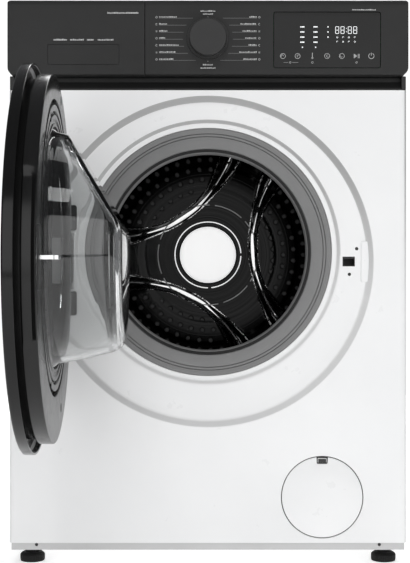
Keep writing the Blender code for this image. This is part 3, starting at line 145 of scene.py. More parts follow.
def ramp(mat, source, low, high, start=0.3, end=0.7):
    made = node(mat, "ShaderNodeValToRGB")
    made.color_ramp.elements[0].position = start
    made.color_ramp.elements[0].color = (*low, 1.0)
    made.color_ramp.elements[1].position = end
    made.color_ramp.elements[1].color = (*high, 1.0)
    link(mat, source, made.inputs["Fac"])
    return made.outputs["Color"]


def spread(mat, source, low, high, socket="Roughness", start=0.3, end=0.7):
    """Runs a value between low and high and puts it on the shader's socket."""
    made = node(mat, "ShaderNodeMapRange")
    for key, value in (("From Min", start), ("From Max", end), ("To Min", low), ("To Max", high)):
        made.inputs[key].default_value = value
    link(mat, source, made.inputs["Value"])
    link(mat, made.outputs["Result"], mat.node_tree.nodes["Principled BSDF"].inputs[socket])


def tint(mat, source, low, high, start=0.3, end=0.7):
    link(mat, ramp(mat, source, low, high, start, end),
         mat.node_tree.nodes["Principled BSDF"].inputs["Base Color"])


def bump(mat, source, strength, distance):
    """Adds a bump; a second call stands on the first."""
    bsdf = mat.node_tree.nodes["Principled BSDF"]
    before = bsdf.inputs["Normal"].links[0].from_socket if bsdf.inputs["Normal"].links else None
    made = node(mat, "ShaderNodeBump", Strength=strength, Distance=distance)
    link(mat, source, made.inputs["Height"])
    if before:
        link(mat, before, made.inputs["Normal"])
    link(mat, made.outputs["Normal"], bsdf.inputs["Normal"])


def cells(mat, scale, feature="F1"):
    made = node(mat, "ShaderNodeTexVoronoi", Scale=scale)
    made.feature = feature
    link(mat, place(mat), made.inputs["Vector"])
    return made


def turned_rings(mat, scale, detail=3.0):
    """Noise that only changes with the distance from the drum's axis, for a lathe-turned finish."""
    shift = node(mat, "ShaderNodeVectorMath", operation="SUBTRACT")
    shift.inputs[1].default_value = (0.0, 0.0, PORT_Z)
    flat = node(mat, "ShaderNodeVectorMath", operation="MULTIPLY")
    flat.inputs[1].default_value = (1.0, 0.0, 1.0)
    length = node(mat, "ShaderNodeVectorMath", operation="LENGTH")
    made = node(mat, "ShaderNodeTexNoise", Scale=scale, Detail=detail)
    made.noise_dimensions = "1D"
    link(mat, place(mat), shift.inputs[0])
    link(mat, shift.outputs["Vector"], flat.inputs[0])
    link(mat, flat.outputs["Vector"], length.inputs[0])
    link(mat, length.outputs["Value"], made.inputs["W"])
    return made.outputs["Fac"]


def height(mat, low, high):
    """Runs from 0 at one height to 1 at another."""
    parts = node(mat, "ShaderNodeSeparateXYZ")
    link(mat, place(mat), parts.inputs["Vector"])
    made = node(mat, "ShaderNodeMapRange")
    made.inputs["From Min"].default_value, made.inputs["From Max"].default_value = low, high
    link(mat, parts.outputs["Z"], made.inputs["Value"])
    return made.outputs["Result"]


def grey(value, warm=0.0):
    return (value + warm, value, value - warm)


def glowing(mat, colour):
    mat.node_tree.nodes["Principled BSDF"].inputs["Emission Color"].default_value = (*colour, 1.0)


def plastic(name, value, rough, grain, grain_scale, vary, specular=0.5):
    """Moulded plastic: a fine eroded grain, slightly uneven colour and uneven gloss."""
    mat = shader(name, grey(value), rough, Specular_IOR_Level=specular)
    tint(mat, noise(mat, 9.0), grey(value * (1 - vary)), grey(value * (1 + vary)))
    spread(mat, noise(mat, 46.0), rough * 0.88, rough * 1.14)
    bump(mat, noise(mat, grain_scale, 2.0), grain, 0.0002)
    return mat


def metal(name, value, rough, stretch=(1.0, 1.0, 1.0), scale=420.0, strength=0.06):
    """Drawn or cast metal: fine lines or grain in the gloss and the bump."""
    mat = shader(name, grey(value), rough, metallic=1.0)
    tint(mat, noise(mat, 24.0), grey(value * 0.9), grey(min(1.0, value * 1.08)))
    lines = noise(mat, scale, 3.0, stretch)
    spread(mat, lines, rough * 0.8, rough * 1.3)
    bump(mat, lines, strength, 0.0002)
    return mat


# name, value, roughness, grain, grain scale, unevenness[, specular]
PLASTICS = {
    "grey_enamel": ("enamel_grey", 0.55, 0.42, 0.04, 900.0, 0.04),
    "satin_black": ("fascia_satin", 0.030, 0.45, 0.12, 3200.0, 0.06, 0.16),
    "grey_plastic": ("plastic_grey", 0.55, 0.42, 0.05, 1800.0, 0.03),
    "dark_plastic": ("plastic_black", 0.020, 0.42, 0.12, 2400.0, 0.15),
    "black_rubber": ("rubber_black", 0.028, 0.65, 0.25, 1500.0, 0.2),
    "print": ("print_pale", 0.52, 0.55, 0.02, 900.0, 0.05),
    "print_dim": ("print_dim", 0.20, 0.55, 0.02, 900.0, 0.05),
    "grip": ("grip_satin", 0.022, 0.50, 0.15, 2400.0, 0.12, 0.3),
    "knob": ("dial_satin", 0.036, 0.40, 0.10, 3000.0, 0.06, 0.22),
    "liner": ("liner_black", 0.010, 0.55, 0.10, 1500.0, 0.1, 0.15),
    # the groove look is near-black rubber, painted shade for the gasket's groove
    "groove": ("rubber_painted_shade", 0.030, 0.70, 0.10, 1500.0, 0.1, 0.1),
    "foot_black": ("foot_black", 0.007, 0.55, 0.12, 1800.0, 0.15, 0.22),
    "frame_black": ("frame_black", 0.008, 0.22, 0.05, 2600.0, 0.1, 0.32),
    "tub_plastic": ("tub_composite", 0.62, 0.55, 0.10, 900.0, 0.05),
}
# name, value, roughness[, stretch, scale, strength]
METALS = {
    "bright_steel": ("steel_bright", 0.72, 0.20, (1.0, 1.0, 12.0), 300.0),
    "cast_aluminium": ("aluminium_cast", 0.50, 0.42, (1.0, 1.0, 1.0), 900.0, 0.25),
    "motor_steel": ("motor_casing", 0.36, 0.40, (1.0, 9.0, 1.0), 200.0, 0.12),
    # hole_rim and drum_wall are the drum's steel darkened as painted shade inside the drum; ring_bead is a lighter
    # copy of it as a painted highlight
    "hole_rim": ("hole_rim", 0.026, 0.30),
    "ring_bead": ("ring_bead", 0.21, 0.32),
    "steel_dark": ("steel_dark", 0.16, 0.30),
    "drum_wall": ("drum_wall", 0.15, 0.16, (1.0, 0.2, 1.0), 260.0, 0.05),
    "lifter": ("lifter_polished", 0.62, 0.06, (1.0, 0.15, 1.0), 240.0, 0.05),
}


def make_looks():
    looks = {key: plastic(*row) for key, row in PLASTICS.items()}
    looks.update({key: metal(*row) for key, row in METALS.items()})
    white = shader("enamel_white", grey(0.83), 0.30, Coat_Weight=0.35, Coat_Roughness=0.12)
    tint(white, noise(white, 5.0), (0.835, 0.838, 0.842), (0.865, 0.866, 0.867))
    spread(white, noise(white, 30.0), 0.27, 0.36)
    bump(white, noise(white, 900.0, 2.0), 0.035, 0.0003)
    looks["white_enamel"] = white
    looks["worktop_board"] = white
    # painted shade: a darker copy of the white enamel for the front panel's recess slopes and rounded edges
    painted_shade = shader("enamel_painted_shade", grey(0.52), 0.34)
    # painted shade by height: darker towards the top of the recess, lighter towards the bottom
    tint(painted_shade, height(painted_shade, PORT_Z - 0.07, PORT_Z + 0.13), grey(0.77), grey(0.45), 0.0, 1.0)
    bump(painted_shade, noise(painted_shade, 900.0, 2.0), 0.035, 0.0003)
    looks["enamel_painted_shade"] = painted_shade
    zinc = shader("zinc_sheet", grey(0.62), 0.42, metallic=0.85)
    spangle = cells(zinc, 95.0)
    tint(zinc, spangle.outputs["Color"], grey(0.50), grey(0.70), 0.0, 1.0)
    spread(zinc, spangle.outputs["Distance"], 0.32, 0.52, start=0.0, end=0.8)
    bump(zinc, noise(zinc, 300.0), 0.05, 0.0003)
    looks["zinc"] = zinc
    gloss = shader("door_gloss", grey(0.006), 0.14, Specular_IOR_Level=0.30)
    tint(gloss, noise(gloss, 7.0), grey(0.004), grey(0.007))
    spread(gloss, noise(gloss, 26.0, 6.0), 0.12, 0.18)
    bump(gloss, noise(gloss, 60.0, 1.0), 0.012, 0.0004)
    looks["gloss_black"] = gloss
    window = shader("window_smoked", grey(0.021), 0.30, Specular_IOR_Level=0.16)
    tint(window, noise(window, 18.0), grey(0.020), grey(0.023))
    spread(window, noise(window, 40.0, 3.0), 0.29, 0.31)
    looks["smoked_window"] = window
    board = shader("circuit_board", (0.03, 0.16, 0.07), 0.45)
    tint(board, cells(board, 160.0, "DISTANCE_TO_EDGE").outputs["Distance"], (0.09, 0.30, 0.14),
         (0.02, 0.13, 0.05),
         0.0, 0.06)
    bump(board, noise(board, 700.0), 0.05, 0.0002)
    looks["board_green"] = board
    rubber = shader("rubber_grey", grey(0.235), 0.60, Specular_IOR_Level=0.20)
    tint(rubber, noise(rubber, 14.0, 5.0), grey(0.205), grey(0.232))
    spread(rubber, noise(rubber, 80.0), 0.56, 0.68)
    bump(rubber, noise(rubber, 1500.0, 3.0), 0.10, 0.0002)
    looks["grey_rubber"] = rubber
    # painted shade: the drum's steel darkened to near black for the shade inside the drum, with its lathe-turned
    # rings
    drum = shader("drum_steel_painted_shade", grey(0.010), 0.10, metallic=1.0, Specular_IOR_Level=0.2)
    turned = turned_rings(drum, 520.0)
    tint(drum, turned, grey(0.005), grey(0.016))
    spread(drum, turned, 0.08, 0.20)
    bump(drum, turned, 0.06, 0.0002)
    looks["drum_steel"] = drum
    glass = shader("bowl_glass", grey(0.87), 0.0, Transmission_Weight=1.0, IOR=1.45)
    tint(glass, noise(glass, 8.0), (0.80, 0.81, 0.81), (0.83, 0.84, 0.84))
    bump(glass, noise(glass, 12.0, 1.0), 0.02, 0.0010)
    looks["clear_glass"] = glass
    stone = shader("concrete_cast", grey(0.42, 0.01), 0.88)
    tint(stone, noise(stone, 70.0, 8.0), grey(0.33, 0.012), grey(0.47, 0.012))
    bump(stone, noise(stone, 160.0, 6.0), 0.5, 0.0015)
    looks["concrete"] = stone
    glow = shader("segment_glow", grey(0.8), 0.4, Emission_Strength=0.55)
    tint(glow, noise(glow, 300.0), grey(0.75), grey(0.85))
    glowing(glow, (0.93, 0.97, 1.0))
    looks["glow"] = glow
    # painted light: the hub glows with its own emission though it is no lamp
    hub = shader("hub_painted_glow", grey(0.93), 0.32, Emission_Strength=0.62)
    glowing(hub, grey(1.0))
    tint(hub, turned_rings(hub, 300.0), grey(0.90), grey(0.95))
    looks["hub"] = hub
    floor = shader("floor_pale", grey(0.93), 0.75, Emission_Strength=0.55)
    glowing(floor, grey(1.0))
    tint(floor, noise(floor, 1.5), grey(0.92), grey(0.94))
    looks["floor"] = floor
    return looks


LOOK = make_looks()
for item in frame["nodes"].values():
    for held in item.material_slots:
        held.material = LOOK[held.material.name.split(".")[0]]


# ---------------------------------------------------------------- mesh helpers
def open_turn():
    """Turns a piece that is drawn in the shut door's place to the open door's place at rest."""
    hinge = HINGE - Vector((0.0, OFFSET, 0.0))
    turn = Matrix.Rotation(math.radians(SHUT_DEG), 4, "Z")
    return Matrix.Translation(hinge) @ turn @ Matrix.Translation(-hinge)


DOOR_TURN = open_turn()


def put(name, bm, look, body="cabinet", replaces=(), sharp=30.0, door=False, bevel=None,
        solid=0.0):
    """Makes a piece of a bmesh drawn in the machine frame; its slot is its look's."""
    bmesh.ops.recalc_face_normals(bm, faces=bm.faces)
    matrix = Matrix.Translation((0.0, OFFSET, 0.0)) @ (DOOR_TURN if door else Matrix.Identity(4))
    bmesh.ops.transform(bm, verts=bm.verts, matrix=matrix)
    mesh = bpy.data.meshes.new(name)
    bm.to_mesh(mesh)
    bm.free()
    mesh.materials.append(LOOK[look])
    mesh.shade_smooth()
    mesh.set_sharp_from_angle(angle=math.radians(sharp))
    piece = bpy.data.objects.new(name, mesh)
    bpy.context.scene.collection.objects.link(piece)
    if solid:
        step = piece.modifiers.new("sheet", "SOLIDIFY")
        step.thickness = solid
        step.offset = -1.0
    if bevel:
        step = piece.modifiers.new("edges", "BEVEL")
        step.width = bevel
        step.segments = 3
        step.limit_method = "ANGLE"
        step.angle_limit = math.radians(35.0)
        normals = piece.modifiers.new("normals", "WEIGHTED_NORMAL")
        normals.keep_sharp = True
    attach(piece, body)
    if replaces:
        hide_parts(*replaces)
    return piece


def revolve(profile, centre=(0.0, 0.0), segments=SEGMENTS, axis="Y", closed=False, reshape=None, bm=None):
    """Turns (radius, along[, centre z]) about an axis along Y at centre (x, z), or along Z at (x, y)."""
    bm = bm or bmesh.new()
    loops = []
    for ring in profile:
        radius, along = ring[0], ring[1]
        middle = ring[2] if len(ring) > 2 else centre[1]
        loop = []
        for i in range(1 if radius == 0.0 else segments):
            angle = 2 * math.pi * i / segments
            r, d = reshape(angle, radius, along) if reshape else (radius, along)
            a, b = r * math.cos(angle), r * math.sin(angle)
            spot = (centre[0] + a, d, middle + b) if axis == "Y" else (centre[0] + a, middle + b, d)
            loop.append(bm.verts.new(spot))
        loops.append(loop)
    pairs = list(zip(loops, loops[1:]))
    if closed:
        pairs.append((loops[-1], loops[0]))
    for first, second in pairs:
        for i in range(segments):
            j = (i + 1) % segments
            corners = [first[i % len(first)], first[j % len(first)], second[j % len(second)],
                       second[i % len(second)]]
            unique = list(dict.fromkeys(corners))
            if len(unique) > 2:
                bm.faces.new(unique)
    return bm


def fillet(a, b, c, radius, steps=5):
    """The corner b of a profile as a rounded one, between the points a and c."""
    p, q, s = Vector(a), Vector(b), Vector(c)
    u, v = (p - q).normalized(), (s - q).normalized()
    reach = min(radius, 0.45 * (p - q).length, 0.45 * (s - q).length)
    start, end = q + u * reach, q + v * reach
    points = []
    for k in range(steps + 1):
        t = k / steps
        points.append(tuple(start * (1 - t) ** 2 + q * 2 * t * (1 - t) + end * t ** 2))
    return points


def rounded(points, radius, closed=False, steps=5):
    """A profile with its inner corners rounded; radius is one number or one per point."""
    count = len(points)
    radii = radius if isinstance(radius, (list, tuple)) else [radius] * count
    made = []
    for i in range(count):
        if not closed and i in (0, count - 1):
            made.append(tuple(points[i]))
        elif radii[i] <= 0:
            made.append(tuple(points[i]))
        else:
            made += fillet(points[i - 1], points[i], points[(i + 1) % count], radii[i], steps)
    return made


def round_rect(x0, x1, z0, z1, radii, steps=6):
    """Points of a rectangle with rounded corners, from the lower left corner, in (x, z)."""
    if not isinstance(radii, (list, tuple)):
        radii = [radii] * 4
    spots = [(x0, z0, 1, 1, 180), (x1, z0, -1, 1, 270), (x1, z1, -1, -1, 0), (x0, z1, 1, -1, 90)]
    points = []
    for (x, z, sx, sz, start), r in zip(spots, radii):
        r = max(r, 1e-5)
        for k in range(steps + 1):
            angle = math.radians(start + 90 * k / steps)
            points.append((x + sx * r + r * math.cos(angle), z + sz * r + r * math.sin(angle)))
    return points


def circle(cx, cz, radius, segments=64):
    return [(cx + radius * math.cos(2 * math.pi * k / segments),
             cz + radius * math.sin(2 * math.pi * k / segments))
            for k in range(segments)]


def add_loop(bm, points, y):
    return [bm.verts.new((x, y, z)) for x, z in points]


def skin(bm, loops, closed=True):
    for first, second in zip(loops, loops[1:]):
        count = len(first)
        for i in range(count if closed else count - 1):
            j = (i + 1) % count
            bm.faces.new((first[i], first[j], second[j], second[i]))


def fill_between(bm, loops):
    """Fills a flat region between an outer loop of vertices and any holes in it."""
    edges = []
    for loop in loops:
        for i, vert in enumerate(loop):
            after = loop[(i + 1) % len(loop)]
            edges.append(bm.edges.get((vert, after)) or bm.edges.new((vert, after)))
    bmesh.ops.triangle_fill(bm, use_beauty=True, use_dissolve=False, edges=edges, normal=(0.0, -1.0, 0.0))


def edge_inset(radius, depth):
    return radius - math.sqrt(max(0.0, radius ** 2 - (radius - depth) ** 2)) if depth < radius else 0.0


def slab(x0, x1, z0, z1, front, back, edges, corners, holes=(), bm=None, hole_depth=0.002, steps=6):
    """A plate facing -y with a rounding for its left, right, lower and upper edge, and holes in its face."""
    bm = bm or bmesh.new()
    left, right, low, high = edges
    depths = {0.0}
    for radius in edges:
        depths.update(radius * (1 - math.cos(math.pi / 2 * k / 5)) for k in range(1, 6))
    depths = sorted(depths, reverse=True)
    spaced = [d for i, d in enumerate(depths) if i == 0 or depths[i - 1] - d > 2e-5 or d == 0.0]
    loops = []
    for depth in [back - front] + spaced:
        il, ir, ib, it = (edge_inset(r, depth) for r in (left, right, low, high))
        pairs = ((il, ib), (ir, ib), (ir, it), (il, it))
        radii = [max(c - max(pair), 0.0003) for c, pair in zip(corners, pairs)]
        loops.append(add_loop(bm, round_rect(x0 + il, x1 - ir, z0 + ib, z1 - it, radii, steps),
                              front + depth))
    skin(bm, loops)
    bm.faces.new(loops[0])
    rims = []
    for hole in holes:
        rim = add_loop(bm, hole, front)
        skin(bm, [rim, add_loop(bm, hole, front + hole_depth)])
        rims.append(rim)
    fill_between(bm, [loops[-1]] + rims)
    return bm


def block(bm, low, high):
    """A plain block inside a larger piece."""
    made = bmesh.ops.create_cube(bm, size=1.0)["verts"]
    low, high = Vector(low), Vector(high)
    bmesh.ops.transform(bm, verts=made,
                        matrix=Matrix.Translation((low + high) / 2) @ Matrix.Diagonal((*(high - low), 1)))
    return made


def extrude(outline, low, high, axis="Y", bm=None):
    """A prism of an (x, z), (x, y) or (y, z) outline along Y, Z or X."""
    bm = bm or bmesh.new()

    def spot(p, d):
        return {"Y": (p[0], d, p[1]), "Z": (p[0], p[1], d), "X": (d, p[0], p[1])}[axis]

    near = [bm.verts.new(spot(p, low)) for p in outline]
    far = [bm.verts.new(spot(p, high)) for p in outline]
    skin(bm, [near, far])
    bm.faces.new(near)
    bm.faces.new(far)
    return bm


def slotted_screw(bm, x, z, y, radius, recess=0.0008):
    """A countersunk screw head with a round recess, facing -y."""
    revolve([(0.0, y + recess), (radius * 0.45, y + recess), (radius * 0.55, y), (radius * 0.92, y + 0.0001),
             (radius, y + 0.0005), (radius, y + 0.003)], (x, z), 20, bm=bm)


# ---------------------------------------------------------------- cabinet
def build_front_panel():
    bm = bmesh.new()
    r, round_deep = 0.0095, 0.0045
    centre = (0.0, DOOR_Z)
    rings = [(RECESS_R, 0.0, DOOR_Z), (RECESS_R - RECESS_SLOPE, RECESS_Y, DOOR_Z), (STEP_R, RECESS_Y, PORT_Z),
             (STEP_R - STEP_SLOPE, STEP_Y, PORT_Z), (LIP_R, STEP_Y, PORT_Z)]
    profile = [(RECESS_R + 0.0035, 0.0, DOOR_Z)]
    for k in range(len(rings)):
        before = profile[0] if k == 0 else rings[k - 1]
        after = rings[k + 1] if k + 1 < len(rings) else (LIP_R - 0.0001, STEP_Y + 0.006, PORT_Z)
        profile += fillet(before, rings[k], after, 0.0032 if k < 4 else 0.0012, 5)
    profile.append((LIP_R, STEP_Y + 0.006, PORT_Z))
    revolve(profile, centre, 240, bm=bm)
    bm.verts.ensure_lookup_table()
    recess_rim = bm.verts[:240]
    flap_rim_r = FLAP_R + 0.0013
    first = len(bm.verts)
    revolve([(flap_rim_r + 0.0005, 0.0), (flap_rim_r + 0.0001, 0.0002), (flap_rim_r, 0.0006),
             (flap_rim_r, 0.0040)],
            (FLAP_X, FLAP_Z), 96, bm=bm)
    bm.verts.ensure_lookup_table()
    flap_rim = bm.verts[first:first + 96]
    x, low, high = HALF_W - r, PANEL_LOW, PANEL_TOP
    heights = [low + (high - low) * k / 12 for k in range(13)]
    right = [bm.verts.new((x, 0.0, z)) for z in heights]
    left = [bm.verts.new((-x, 0.0, z)) for z in heights]
    fill_between(bm, [right + left[::-1], recess_rim, flap_rim])
    for side, column in ((1, right), (-1, left)):
        rows = [column]
        for k in range(1, 9):
            angle = math.pi / 2 * k / 8
            spot = (side * (x + r * math.sin(angle)), round_deep * (1 - math.cos(angle)))
            rows.append([bm.verts.new((*spot, z)) for z in heights])
        rows.append([bm.verts.new((side * HALF_W, RETURN_Y, z)) for z in heights])
        skin(bm, rows, closed=False)
    piece = put("front_sheet", bm, "white_enamel", replaces=("front_panel",), sharp=40.0,
                solid=0.0012)
    slot = bmesh.new()
    block(slot, (LATCH_X - LATCH_HALF_W, RECESS_Y - 0.006, DOOR_Z - LATCH_HALF_H),
          (LATCH_X + LATCH_HALF_W, RECESS_Y + 0.006, DOOR_Z + LATCH_HALF_H))
    cut_away(piece, [slot], Matrix.Identity(4))
    # the recess slopes and rounded edges take the darker enamel as painted shade
    piece.data.materials.append(LOOK["enamel_painted_shade"])
    for face in piece.data.polygons:
        if face.area < 0.0004 and 0.25 < abs(face.normal.y) < 0.92:
            face.material_index = 1


def build_flap():
    bm = bmesh.new()
    notch_w, notch_h, corner = 0.0083, 0.0106, 0.002
    top = FLAP_Z + FLAP_R
    points = []
    for k in range(161):
        angle = math.radians(90 + 8.2 + (360 - 16.4) * k / 160)
        points.append((FLAP_X + FLAP_R * math.cos(angle), FLAP_Z + FLAP_R * math.sin(angle)))
    points += [(FLAP_X + notch_w, top - notch_h + corner),
               (FLAP_X + notch_w - corner * 0.3, top - notch_h + corner * 0.3),
               (FLAP_X + notch_w - corner, top - notch_h), (FLAP_X - notch_w + corner, top - notch_h),
               (FLAP_X - notch_w + corner * 0.3, top - notch_h + corner * 0.3),
               (FLAP_X - notch_w, top - notch_h + corner)]

    def inset(amount):
        made = []
        for px, pz in points:
            share = 1 - amount / math.hypot(px - FLAP_X, pz - FLAP_Z)
            made.append((FLAP_X + (px - FLAP_X) * share, FLAP_Z + (pz - FLAP_Z) * share))
        return made

    loops = [add_loop(bm, points, 0.0025), add_loop(bm, points, 0.0008), add_loop(bm, inset(0.0002), 0.0003),
             add_loop(bm, inset(0.0007), 0.0)]
    skin(bm, loops)
    bm.faces.new(loops[0])
    bm.faces.new(loops[-1])
    put("service_flap", bm, "white_enamel", "flap", replaces=("filter_flap",), sharp=40.0)
    bm = bmesh.new()
    half = notch_w - 0.0004
    block(bm, (FLAP_X - half, 0.0030, top - notch_h), (FLAP_X + half, 0.0042, top + 0.0006))
    put("notch_shade", bm, "dark_plastic", "flap", bevel=0.0002)
    bm = bmesh.new()
    block(bm, (FLAP_X - 0.0066, 0.0006, top - 0.0086), (FLAP_X + 0.0066, 0.0034, top - 0.0022))
    put("flap_catch_nose", bm, "white_enamel", "cabinet", bevel=0.0003)


def build_base():
    bm = bmesh.new()
    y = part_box("base_frame")[0].y - OFFSET
    for x in (-0.257, 0.257):
        slotted_screw(bm, x, 0.0312, y - 0.0012, 0.00235)
    put("base_screws", bm, "dark_plastic")
    for side in ("front_left", "front_right", "rear_left", "rear_right"):
        lo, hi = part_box(f"foot_{side}")
        x, y = (lo.x + hi.x) / 2, (lo.y + hi.y) / 2 - OFFSET
        pad, nut, ribs = 0.0136, 0.0166, 36
        r = (hi.x - lo.x) / 2
        profile = [(0.0, 0.0)] + rounded([(r - 0.003, 0.0), (r - 0.0005, 0.0), (r, 0.004), (r, pad - 0.0035),
                                          (r - 0.004, pad), (0.006, pad)], 0.0014)

        def ribbed(angle, radius, along):
            groove = 0.0004 if radius > r - 0.001 and math.sin(angle * ribs) > 0.3 else 0.0
            return radius - groove, along

        bm = revolve(profile, (x, y), 144, "Z", reshape=ribbed)
        hexagon = [(x + 0.0105 * math.cos(math.radians(60 * k)), y + 0.0105 * math.sin(math.radians(60 * k)))
                   for k in range(6)]
        extrude(hexagon, pad - 0.0002, nut, "Z", bm=bm)
        thread = []
        for k in range(41):
            z = nut + (hi.z - nut) * k / 40
            thread.append((0.0049 if k % 2 else 0.0042, z))
        revolve([(0.0, nut - 0.001), (0.0042, nut - 0.001)] + thread + [(0.0, hi.z)], (x, y), 24, "Z", bm=bm)
        put(f"levelling_foot_{side}", bm, "foot_black", f"{side}_foot", (f"foot_{side}",),
            sharp=35.0)


def build_worktop():
    lo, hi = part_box("worktop")
    bm = slab(lo.x, hi.x, lo.y - OFFSET, hi.y - OFFSET, 0.0, hi.z - lo.z, (0.004, 0.004, 0.003, 0.004),
              (0.004, 0.004, 0.010, 0.010))
    for vert in bm.verts:
        x, depth, y = vert.co
        vert.co = (x, y, hi.z - depth)
    put("worktop_slab", bm, "worktop_board", replaces=("worktop",), sharp=40.0)


def face_rear(bm):
    """Turns what is drawn facing -y to face +y."""
    for vert in bm.verts:
        vert.co.x, vert.co.y = -vert.co.x, -vert.co.y


def build_rear():
    bm = bmesh.new()
    spots = []
    for z in (0.070, 0.300, 0.560, 0.800):
        spots += [(-HALF_W + 0.010, z), (HALF_W - 0.010, z)]
    screw_ring = 0.1615
    for k in range(8):
        angle = math.radians(22.5 + 45 * k)
        spots.append((screw_ring * math.cos(angle), PORT_Z + screw_ring * math.sin(angle)))
    for x, z in spots:
        on_cover = math.hypot(x, z - PORT_Z) < screw_ring + 0.0035
        y = REAR_Y + (0.0018 if on_cover else 0.0)
        revolve([(0.0, -y - 0.0012), (0.0021, -y - 0.0012), (0.0032, -y - 0.0008), (0.0038, -y),
                 (0.0038, -y + 0.002)],
                (-x, z), 18, bm=bm)
    face_rear(bm)
    put("rear_screws", bm, "bright_steel")
    bm = bmesh.new()
    for x, z in ((-0.190, 0.620), (0.190, 0.620), (-0.190, 0.300), (0.190, 0.300)):
        profile = [(0.0, -REAR_Y - 0.0040)] + rounded([(0.009, -REAR_Y - 0.0040), (0.0165, -REAR_Y - 0.0035),
                                                       (0.0185, -REAR_Y), (0.0185, -REAR_Y + 0.001)], 0.0012)
        revolve(profile, (-x, z), 48, bm=bm)
    face_rear(bm)
    put("transit_caps", bm, "grey_plastic")


# ---------------------------------------------------------------- fascia
FASCIA_MID = (FASCIA_LOW + TOP_Z) / 2
BOW_REACH, BOW_DEPTH = 0.058, 0.0007
FALL_BAND, FALL_BLEND = 0.020, 0.012
PRINT_PROUD, GLOW_PROUD = 0.00006, 0.00012
BANDS = [FASCIA_LOW + 0.012 * k for k in range(1, 10)]


def lower_front(bm):
    """Lets the top of a fascia piece fall towards the front, as its solid does."""
    for vert in bm.verts:
        if vert.co.z > TOP_Z - FALL_BAND:
            share = min(1.0, (vert.co.z - TOP_Z + FALL_BAND) / FALL_BLEND)
            vert.co.z -= share * TOP_FALL * max(0.0, RETURN_Y - vert.co.y) / (RETURN_Y - FACE_Y)


def bow(bm):
    """Bends a fascia piece slightly, so that it catches the light as a moulded one does."""
    for z in BANDS:
        bmesh.ops.bisect_plane(bm, geom=bm.verts[:] + bm.edges[:] + bm.faces[:], plane_co=(0, 0, z),
                               plane_no=(0, 0, 1))
    for vert in bm.verts:
        vert.co.y += BOW_DEPTH * ((vert.co.z - FASCIA_MID) / BOW_REACH) ** 2


def bow_y(z):
    return FACE_Y + BOW_DEPTH * ((z - FASCIA_MID) / BOW_REACH) ** 2


def build_fascia():
    left = DRAWER_X + 0.0006
    window = round_rect(WINDOW_LO.x - 0.0006, WINDOW_HI.x + 0.0006, WINDOW_LO.z - 0.0006,
                        WINDOW_HI.z + 0.0006, 0.0034)
    bm = slab(left, FASCIA_HALF, FASCIA_LOW, TOP_Z, FACE_Y, RETURN_Y, (0.0006, 0.0028, 0.0016, 0.0080),
              (0.0006, 0.0110, 0.0040, 0.0006), holes=[window, circle(0.0, KNOB_Z, 0.0285, 96)],
              hole_depth=0.0022, steps=8)
    bow(bm)
    carrier_front, split = FACE_Y + 0.0145, DRAWER_X + 0.003
    wall = 0.0025
    outer = round_rect(-FASCIA_HALF, split, FASCIA_LOW, TOP_Z, (0.010, 0.001, 0.001, 0.004))
    inner = round_rect(-FASCIA_HALF + 0.012, DRAWER_X - 0.0025, FASCIA_LOW + 0.008, TOP_Z - 0.022, 0.004)
    rows = [add_loop(bm, inner, RETURN_Y), add_loop(bm, inner, carrier_front + wall),
            add_loop(bm, inner, carrier_front),
            add_loop(bm, outer, carrier_front), add_loop(bm, outer, RETURN_Y)]
    skin(bm, rows)
    lower_front(bm)
    put("fascia_body", bm, "satin_black", replaces=("control_fascia",), sharp=38.0)

    bm = bmesh.new()
    gap = 0.0003
    slab(WINDOW_LO.x + gap, WINDOW_HI.x - gap, WINDOW_LO.z + gap, WINDOW_HI.z - gap, FACE_Y + 0.00005,
         FACE_Y + 0.0021,
         (0.0004,) * 4, (0.0030,) * 4, bm=bm)
    bow(bm)
    put("touch_window", bm, "smoked_window", replaces=("display_window",), sharp=38.0)

    bm = bmesh.new()
    well = FACE_Y + 0.0021
    revolve([(0.006, well), (0.0284, well), (0.0284, well - 0.0016), (0.0278, well - 0.0019)], (0.0, KNOB_Z),
            96, bm=bm)
    put("knob_well", bm, "dark_plastic", solid=0.0004)


def build_drawer():
    bm = bmesh.new()
    x0, x1, z0, z1, groove = -0.2392, -0.1318, 0.7483, 0.7793, 0.0009
    grip = round_rect(x0, x1, z0, z1, 0.0035)
    island = round_rect(x0 + groove, x1 - groove, z0 + groove, z1 - groove, 0.0028)
    slab(-FASCIA_HALF, DRAWER_X, FASCIA_LOW, TOP_Z, FACE_Y, FACE_Y + 0.014, (0.0028, 0.0006, 0.0016, 0.0080),
         (0.0110, 0.0006, 0.0006, 0.0040), holes=[grip], hole_depth=0.0012, bm=bm, steps=6)
    floor = add_loop(bm, grip, FACE_Y + 0.0012)
    inner_floor = add_loop(bm, island, FACE_Y + 0.0012)
    inner_rim = add_loop(bm, island, FACE_Y + 0.0001)
    skin(bm, [floor, inner_floor, inner_rim])
    bm.faces.new(inner_rim)
    bmesh.ops.remove_doubles(bm, verts=bm.verts, dist=1e-6)
    bow(bm)
    lower_front(bm)
    put("drawer_facing", bm, "satin_black", "drawer", replaces=("drawer_front",), sharp=38.0)


def build_grip_strip():
    lo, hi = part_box("grip_strip")
    front = lo.y - OFFSET
    section = rounded([(0.0297, lo.z), (front, lo.z), (front, lo.z + 0.0032), (0.016, lo.z + 0.0135),
                       (0.016, hi.z),
                       (0.0297, hi.z)], 0.0016, closed=True)
    bm = extrude(section, lo.x, hi.x, "X")
    put("finger_recess", bm, "grip", "cabinet", ("grip_strip",), sharp=30.0)
    bm = bmesh.new()
    for side in (-1, 1):
        inner, outer = sorted((side * 0.2900, side * (HALF_W - 0.0006)))
        block(bm, (inner, 0.0012, lo.z + 0.0004), (outer, 0.0290, hi.z - 0.0004))
    put("recess_ends", bm, "frame_black", "cabinet", bevel=0.0008)


